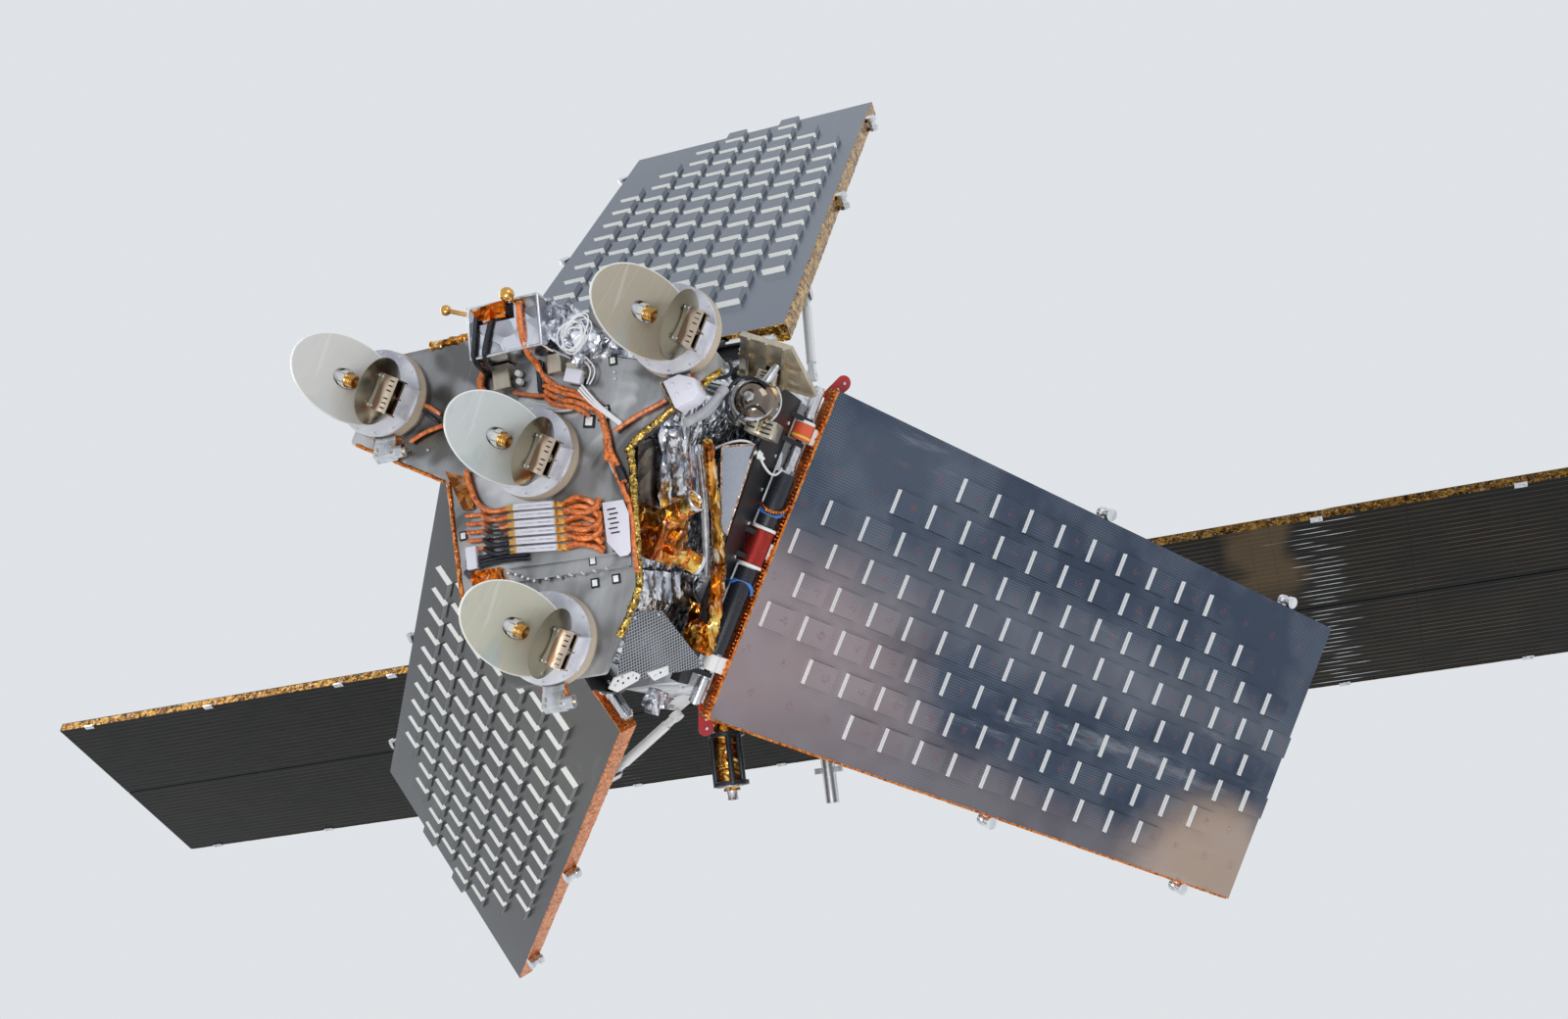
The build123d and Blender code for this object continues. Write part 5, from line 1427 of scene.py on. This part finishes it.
# Bolts and holes on the bracket's plane: low and high end, radius, tip, sides, bevel, then their places
HEADS = (((6.2, 9.0, 3.6, 3.0, 6, 0.4), ((414, 74), (392, 86), (381, 116), (349, 212), (366, 184))),
         ((1.0, 4.5, 4.0, 3.4, 6, 0.4), ((256, 56), (232, 124), (305, 318), (398, 98))))
# Holes are black discs: painted shade standing in for open holes
HOLES = (((6.0, 6.8, 3.0, None, 12), ((403, 78), (404, 96), (385, 130), (390, 106), (356, 198))),)
NOZZLE = ((0, 11), (0, 27), (4, 27), (10, 15), (30, 12.5), (37.5, 15), (37.5, 11))


def screen_fittings():
    """Fine mesh cover with its border, and the bolts of the corner brackets with black discs as painted shade
    in their holes.
    """
    place = MESH_PLANE @ moved(0, 0, 0.0016)
    cover, border = Shape(), Shape(within(place))
    cover.plate(((-177, 116), (-217, 232), (3, 259), (-7, 223)), 0.8, place)
    cover.ride("fine_mesh", "fine_mesh")
    for start, end in (((-179, 114), (-220, 234)), ((-220, 234), (4, 261)), ((-179, 114), (-6, 224))):
        border.roll(((*start, 0), (*end, 0)), 3, 1.2, 16, 77.0)
    border.ride("fine_mesh_border", "rose_foil")
    for name, finish, table in (("bracket_bolts", "bright_aluminium", HEADS),
                                ("bracket_hole_shade", "black_composite", HOLES)):
        shape = Shape(within(GRID_PLANE))
        for form, spots in table:
            for spot in spots:
                shape.knob(*spot, *form)
        shape.ride(name, finish)


def thruster_fittings():
    """Cage of four bars and two rings round the aft thruster, and its nozzle."""
    cage, nozzle, level = Shape(), Shape(), HINGE_Z + 0.450
    cage.point = lambda x, y, z: Vector((x / 1000, y / 1000, level + z / 1000))
    for degrees in (-65, -20, 160, 205):
        cage.rod((-560, *circle(40, degrees)), (-702, *circle(40, degrees)), 8.5, None, 20, 1)
    for x in (-0.565, -0.695):
        cage.ring(35.5, 48.0, -6, 6, moved(x, 0, level) @ turned(-90, "Y"), 40)
    nozzle.turning(NOZZLE, moved(-0.700, 0, level) @ turned(-90, "Y"), 36)
    cage.ride("thruster_cage", "dark_cable")
    nozzle.ride("thruster_nozzle", "bright_aluminium")


screen_fittings()
thruster_fittings()


# Filter modules: gilded connectors, pale covers and the looped cables at both ends

MODULES = 6


def module_frame(k):
    """Frame of one filter module: x along it towards port, z out of the deck."""
    return moved(-0.117 - 0.019 * k, -0.010, DECK_Z) @ turned(96) @ Matrix.Rotation(math.pi, 4, "X")


def module_fittings():
    """Connectors, covers and extra cables of the row of filter modules."""
    gilded, covers, amber, dark = (Shape() for _ in range(4))
    for k in range(MODULES):
        place = module_frame(k)
        turn = facing(place)
        gilded.point = covers.point = amber.point = dark.point = within(place)
        for side in (-1, 1):
            gilded.block((side * 58.2, 0, 7.8), (18, 12.4, 12.4), turn, 0.6)
            gilded.block((side * 50, 0, 9.8), (3, 15, 19), turn, 0.4)
            covers.block((0, side * 4.4, 18.4), (90, 5, 1.2), turn, 0.3)
        low = 3.5 * math.sin(2.3 * k)
        amber.tube(((66, 0, 8), (88, 7, 22 + low), (116, 10 - 2 * k, 30 + low), (140, -4 + low, 22),
                    (150, -16, 10)), 5.8,
                   4, 10)
        cable = dark if k > 3 else amber
        cable.tube(((-66, 0, 8), (-86, -7, 20 + low), (-108, -4, 26 + low), (-126, 8, 14)), 5.8, 4, 10)
    for low, k in ((0, 1), (4, 3), (2, 4)):
        amber.point = within(module_frame(k))
        amber.tube(((78, 4, 20), (104, -6, 36 + low), (132, -10, 34 + low), (152, 6, 20), (148, 24, 10)),
                   6.2, 4, 10)
    gilded.ride("module_connectors", "gold_plated")
    covers.ride("module_covers", "pale_plate")
    amber.ride("module_cables", "orange_wrap")
    dark.ride("module_cables_dark", "dark_cable")


module_fittings()


# Wings and tower: edge tape, cell clips, back rails, seam strips with buttons, and small plates

WING_CLIPS = (900, 1620, 2350, 2620, 3300, 3950)
SEAM_LEVELS = (-420, -1020, -1620, -2220, -2820)
# Plates on each tower face: y, z, width, height
TOWER_PLATES = ((0, -700, 170, 110), (-80, -1860, 110, 70), (70, -2500, 130, 160))


def wing_fittings(side, place):
    """Gilt tape and small clips on the long edges of a wing, and rails and diodes on its back."""
    tape, clips, rail = (Shape(place=place) for _ in range(3))
    half, face, root, tip = (1000 * size for size in (WING_CHORD / 2, WING_THICK / 2, WING_ROOT, WING_TIP))
    for across in (-1, 1):
        tape.strip(((WING_TIP + WING_ROOT) / 2, across * (WING_CHORD / 2 - 0.0006), 0.003),
                   (WING_TIP - WING_ROOT - 0.016, 0.0036, WING_THICK - 0.003), 0, 260, 0.5, 20, 3.0 + across)
        for out in WING_CLIPS:
            clips.block((out, across * (half - 4), face + 3), (46, 22, 8), IDENTITY, 1.5)
            clips.knob(out + 12, across * (half - 4), face, face + 11, 4.5, 4.0, 12, 0.5)
        for step in range(5):
            rail.block((root + 361.5 + 723 * step, across * half / 2, -face - 4), (14, half - 40, 9),
                       IDENTITY, 1.5)
    for step in range(24):
        rail.block((root + 100 + step * 148, 60, -face - 3), (30, 16, 7), IDENTITY, 1)
    rail.rod((root + 50, 80, -face - 3), (tip - 60, 80, -face - 3), 4, None, 12)
    for name, shape, finish in (("wing_tape_", tape, "wing_tape"), ("wing_clips_", clips, "bright_aluminium"),
                                ("wing_back_rails_", rail, "champagne_metal")):
        shape.ride(name + side, finish, "wing_" + side)


def tower_fittings():
    """Seam strips with buttons on the tower's blankets, and the vent and plug plates on its faces."""
    strips, buttons, plates = Shape(), Shape(), Shape()
    for azimuth in SIDES.values():
        spin = turned(azimuth)
        strips.point = buttons.point = plates.point = within(spin)
        for level in SEAM_LEVELS:
            strips.block((291.5, 0, level), (3, 600, 30), spin, 0.8)
            for step in range(-3, 4):
                buttons.rod((290, step * 92, level), (296.5, step * 92, level), 7.5, 6.2, 16, 0.8)
        for y in (-155, 155):
            strips.block((291.2, y, -1700), (2.4, 22, 2800), spin, 0.6)
        for y, level, wide, high in TOWER_PLATES:
            plates.block((293.5, y, level), (7, wide, high), spin, 2)
            for a, b in ((-1, -1), (-1, 1), (1, -1), (1, 1)):
                foot = buttons.point(296, y + a * (wide / 2 - 10), level + b * (high / 2 - 10))
                buttons.bar(foot, foot + spin.to_3x3() @ mm(4, 0, 0), 4.0, 3.4, 10, 0.5)
    strips.ride("tower_strips", "bright_aluminium")
    buttons.ride("tower_buttons", "bright_aluminium")
    plates.ride("tower_plates", "champagne_metal")


wing_fittings("port", WING)
wing_fittings("starboard", Matrix.Diagonal((1, -1, 1, 1)) @ WING)
tower_fittings()


# Camera, light and backdrop

# Lamps: place, aim, size, power and colour
LAMPS = {
    "key": ((-1.9, 0.5, -7.3), (0.1, 0.2, -3.6), 2.2, 110.0, (1.0, 0.98, 0.95)),
    "fill": ((2.6, 3.8, -6.6), (0.1, 0.4, -3.4), 3.0, 60.0, (0.93, 0.96, 1.0)),
    "rim": ((2.0, -4.5, -1.0), (0.0, 0.0, -2.4), 3.0, 60.0, (1.0, 1.0, 1.0)),
}
FLOOR_Z, FLOOR_SIZE = -7.46, 60.0


def placed(name, data):
    """Object in the scene for a camera, lamp or mesh."""
    made = bpy.data.objects.new(name, data)
    bpy.context.scene.collection.objects.link(made)
    return made


def place_camera():
    """Camera near the floor, at the photograph's viewing angle."""
    data = bpy.data.cameras.new("camera")
    data.lens, data.sensor_width, data.clip_end = 40.03, 36.0, 100.0
    camera = placed("camera", data)
    right = Vector((-0.11800718, 0.94494302, 0.3052163))
    down = Vector((-0.96978744, -0.17575538, 0.16918147))
    forward = Vector((0.21351025, -0.27603031, 0.93713427))
    camera.matrix_world = axes(right, -down, -forward, (-0.995, 1.544, -7.388))
    bpy.context.scene.camera = camera


def soft_light(name, at, aim, size, power, colour):
    """Large square lamp aimed at a point."""
    data = bpy.data.lights.new(name, "AREA")
    data.size, data.energy, data.color = size, power, colour
    lamp = placed(name, data)
    lamp.location = at
    lamp.rotation_euler = (Vector(aim) - Vector(at)).to_track_quat("-Z", "Y").to_euler()


def light_stage():
    """Pale floor just below the camera, plain pale surroundings and soft lamps."""
    world = bpy.data.worlds.new("studio")
    world.use_nodes = True
    bpy.context.scene.world = world
    sky, back = Nodes(world.node_tree), world.node_tree.nodes["Background"].inputs
    path = sky.all_of("LightPath", {})
    seen = path["Is Camera Ray"].most(path["Is Glossy Ray"].most(path["Is Transmission Ray"]))
    sky.feed(back["Color"], sky.mix(seen, (0.88, 0.92, 0.98), (0.74, 0.77, 0.80)))
    back["Strength"].default_value = 1.0
    ground = bmesh.new()
    bmesh.ops.create_grid(ground, x_segments=1, y_segments=1, size=FLOOR_SIZE)
    bmesh.ops.translate(ground, verts=ground.verts, vec=(0, 0, FLOOR_Z))
    mesh = bpy.data.meshes.new("studio_floor")
    ground.to_mesh(mesh)
    ground.free()
    paint = Finish("floor_pale", Roughness=0.8)
    paint.shade(Base_Color=paint.mix(paint.noise(paint.where, 3.0, 4.0), (0.70, 0.71, 0.72),
                                     (0.76, 0.77, 0.78)))
    mesh.materials.append(FINISHES["floor_pale"])
    placed("studio_floor", mesh)
    for name, values in LAMPS.items():
        soft_light(name, *values)


place_camera()
light_stage()
bpy.context.scene.view_settings.view_transform = "Standard"
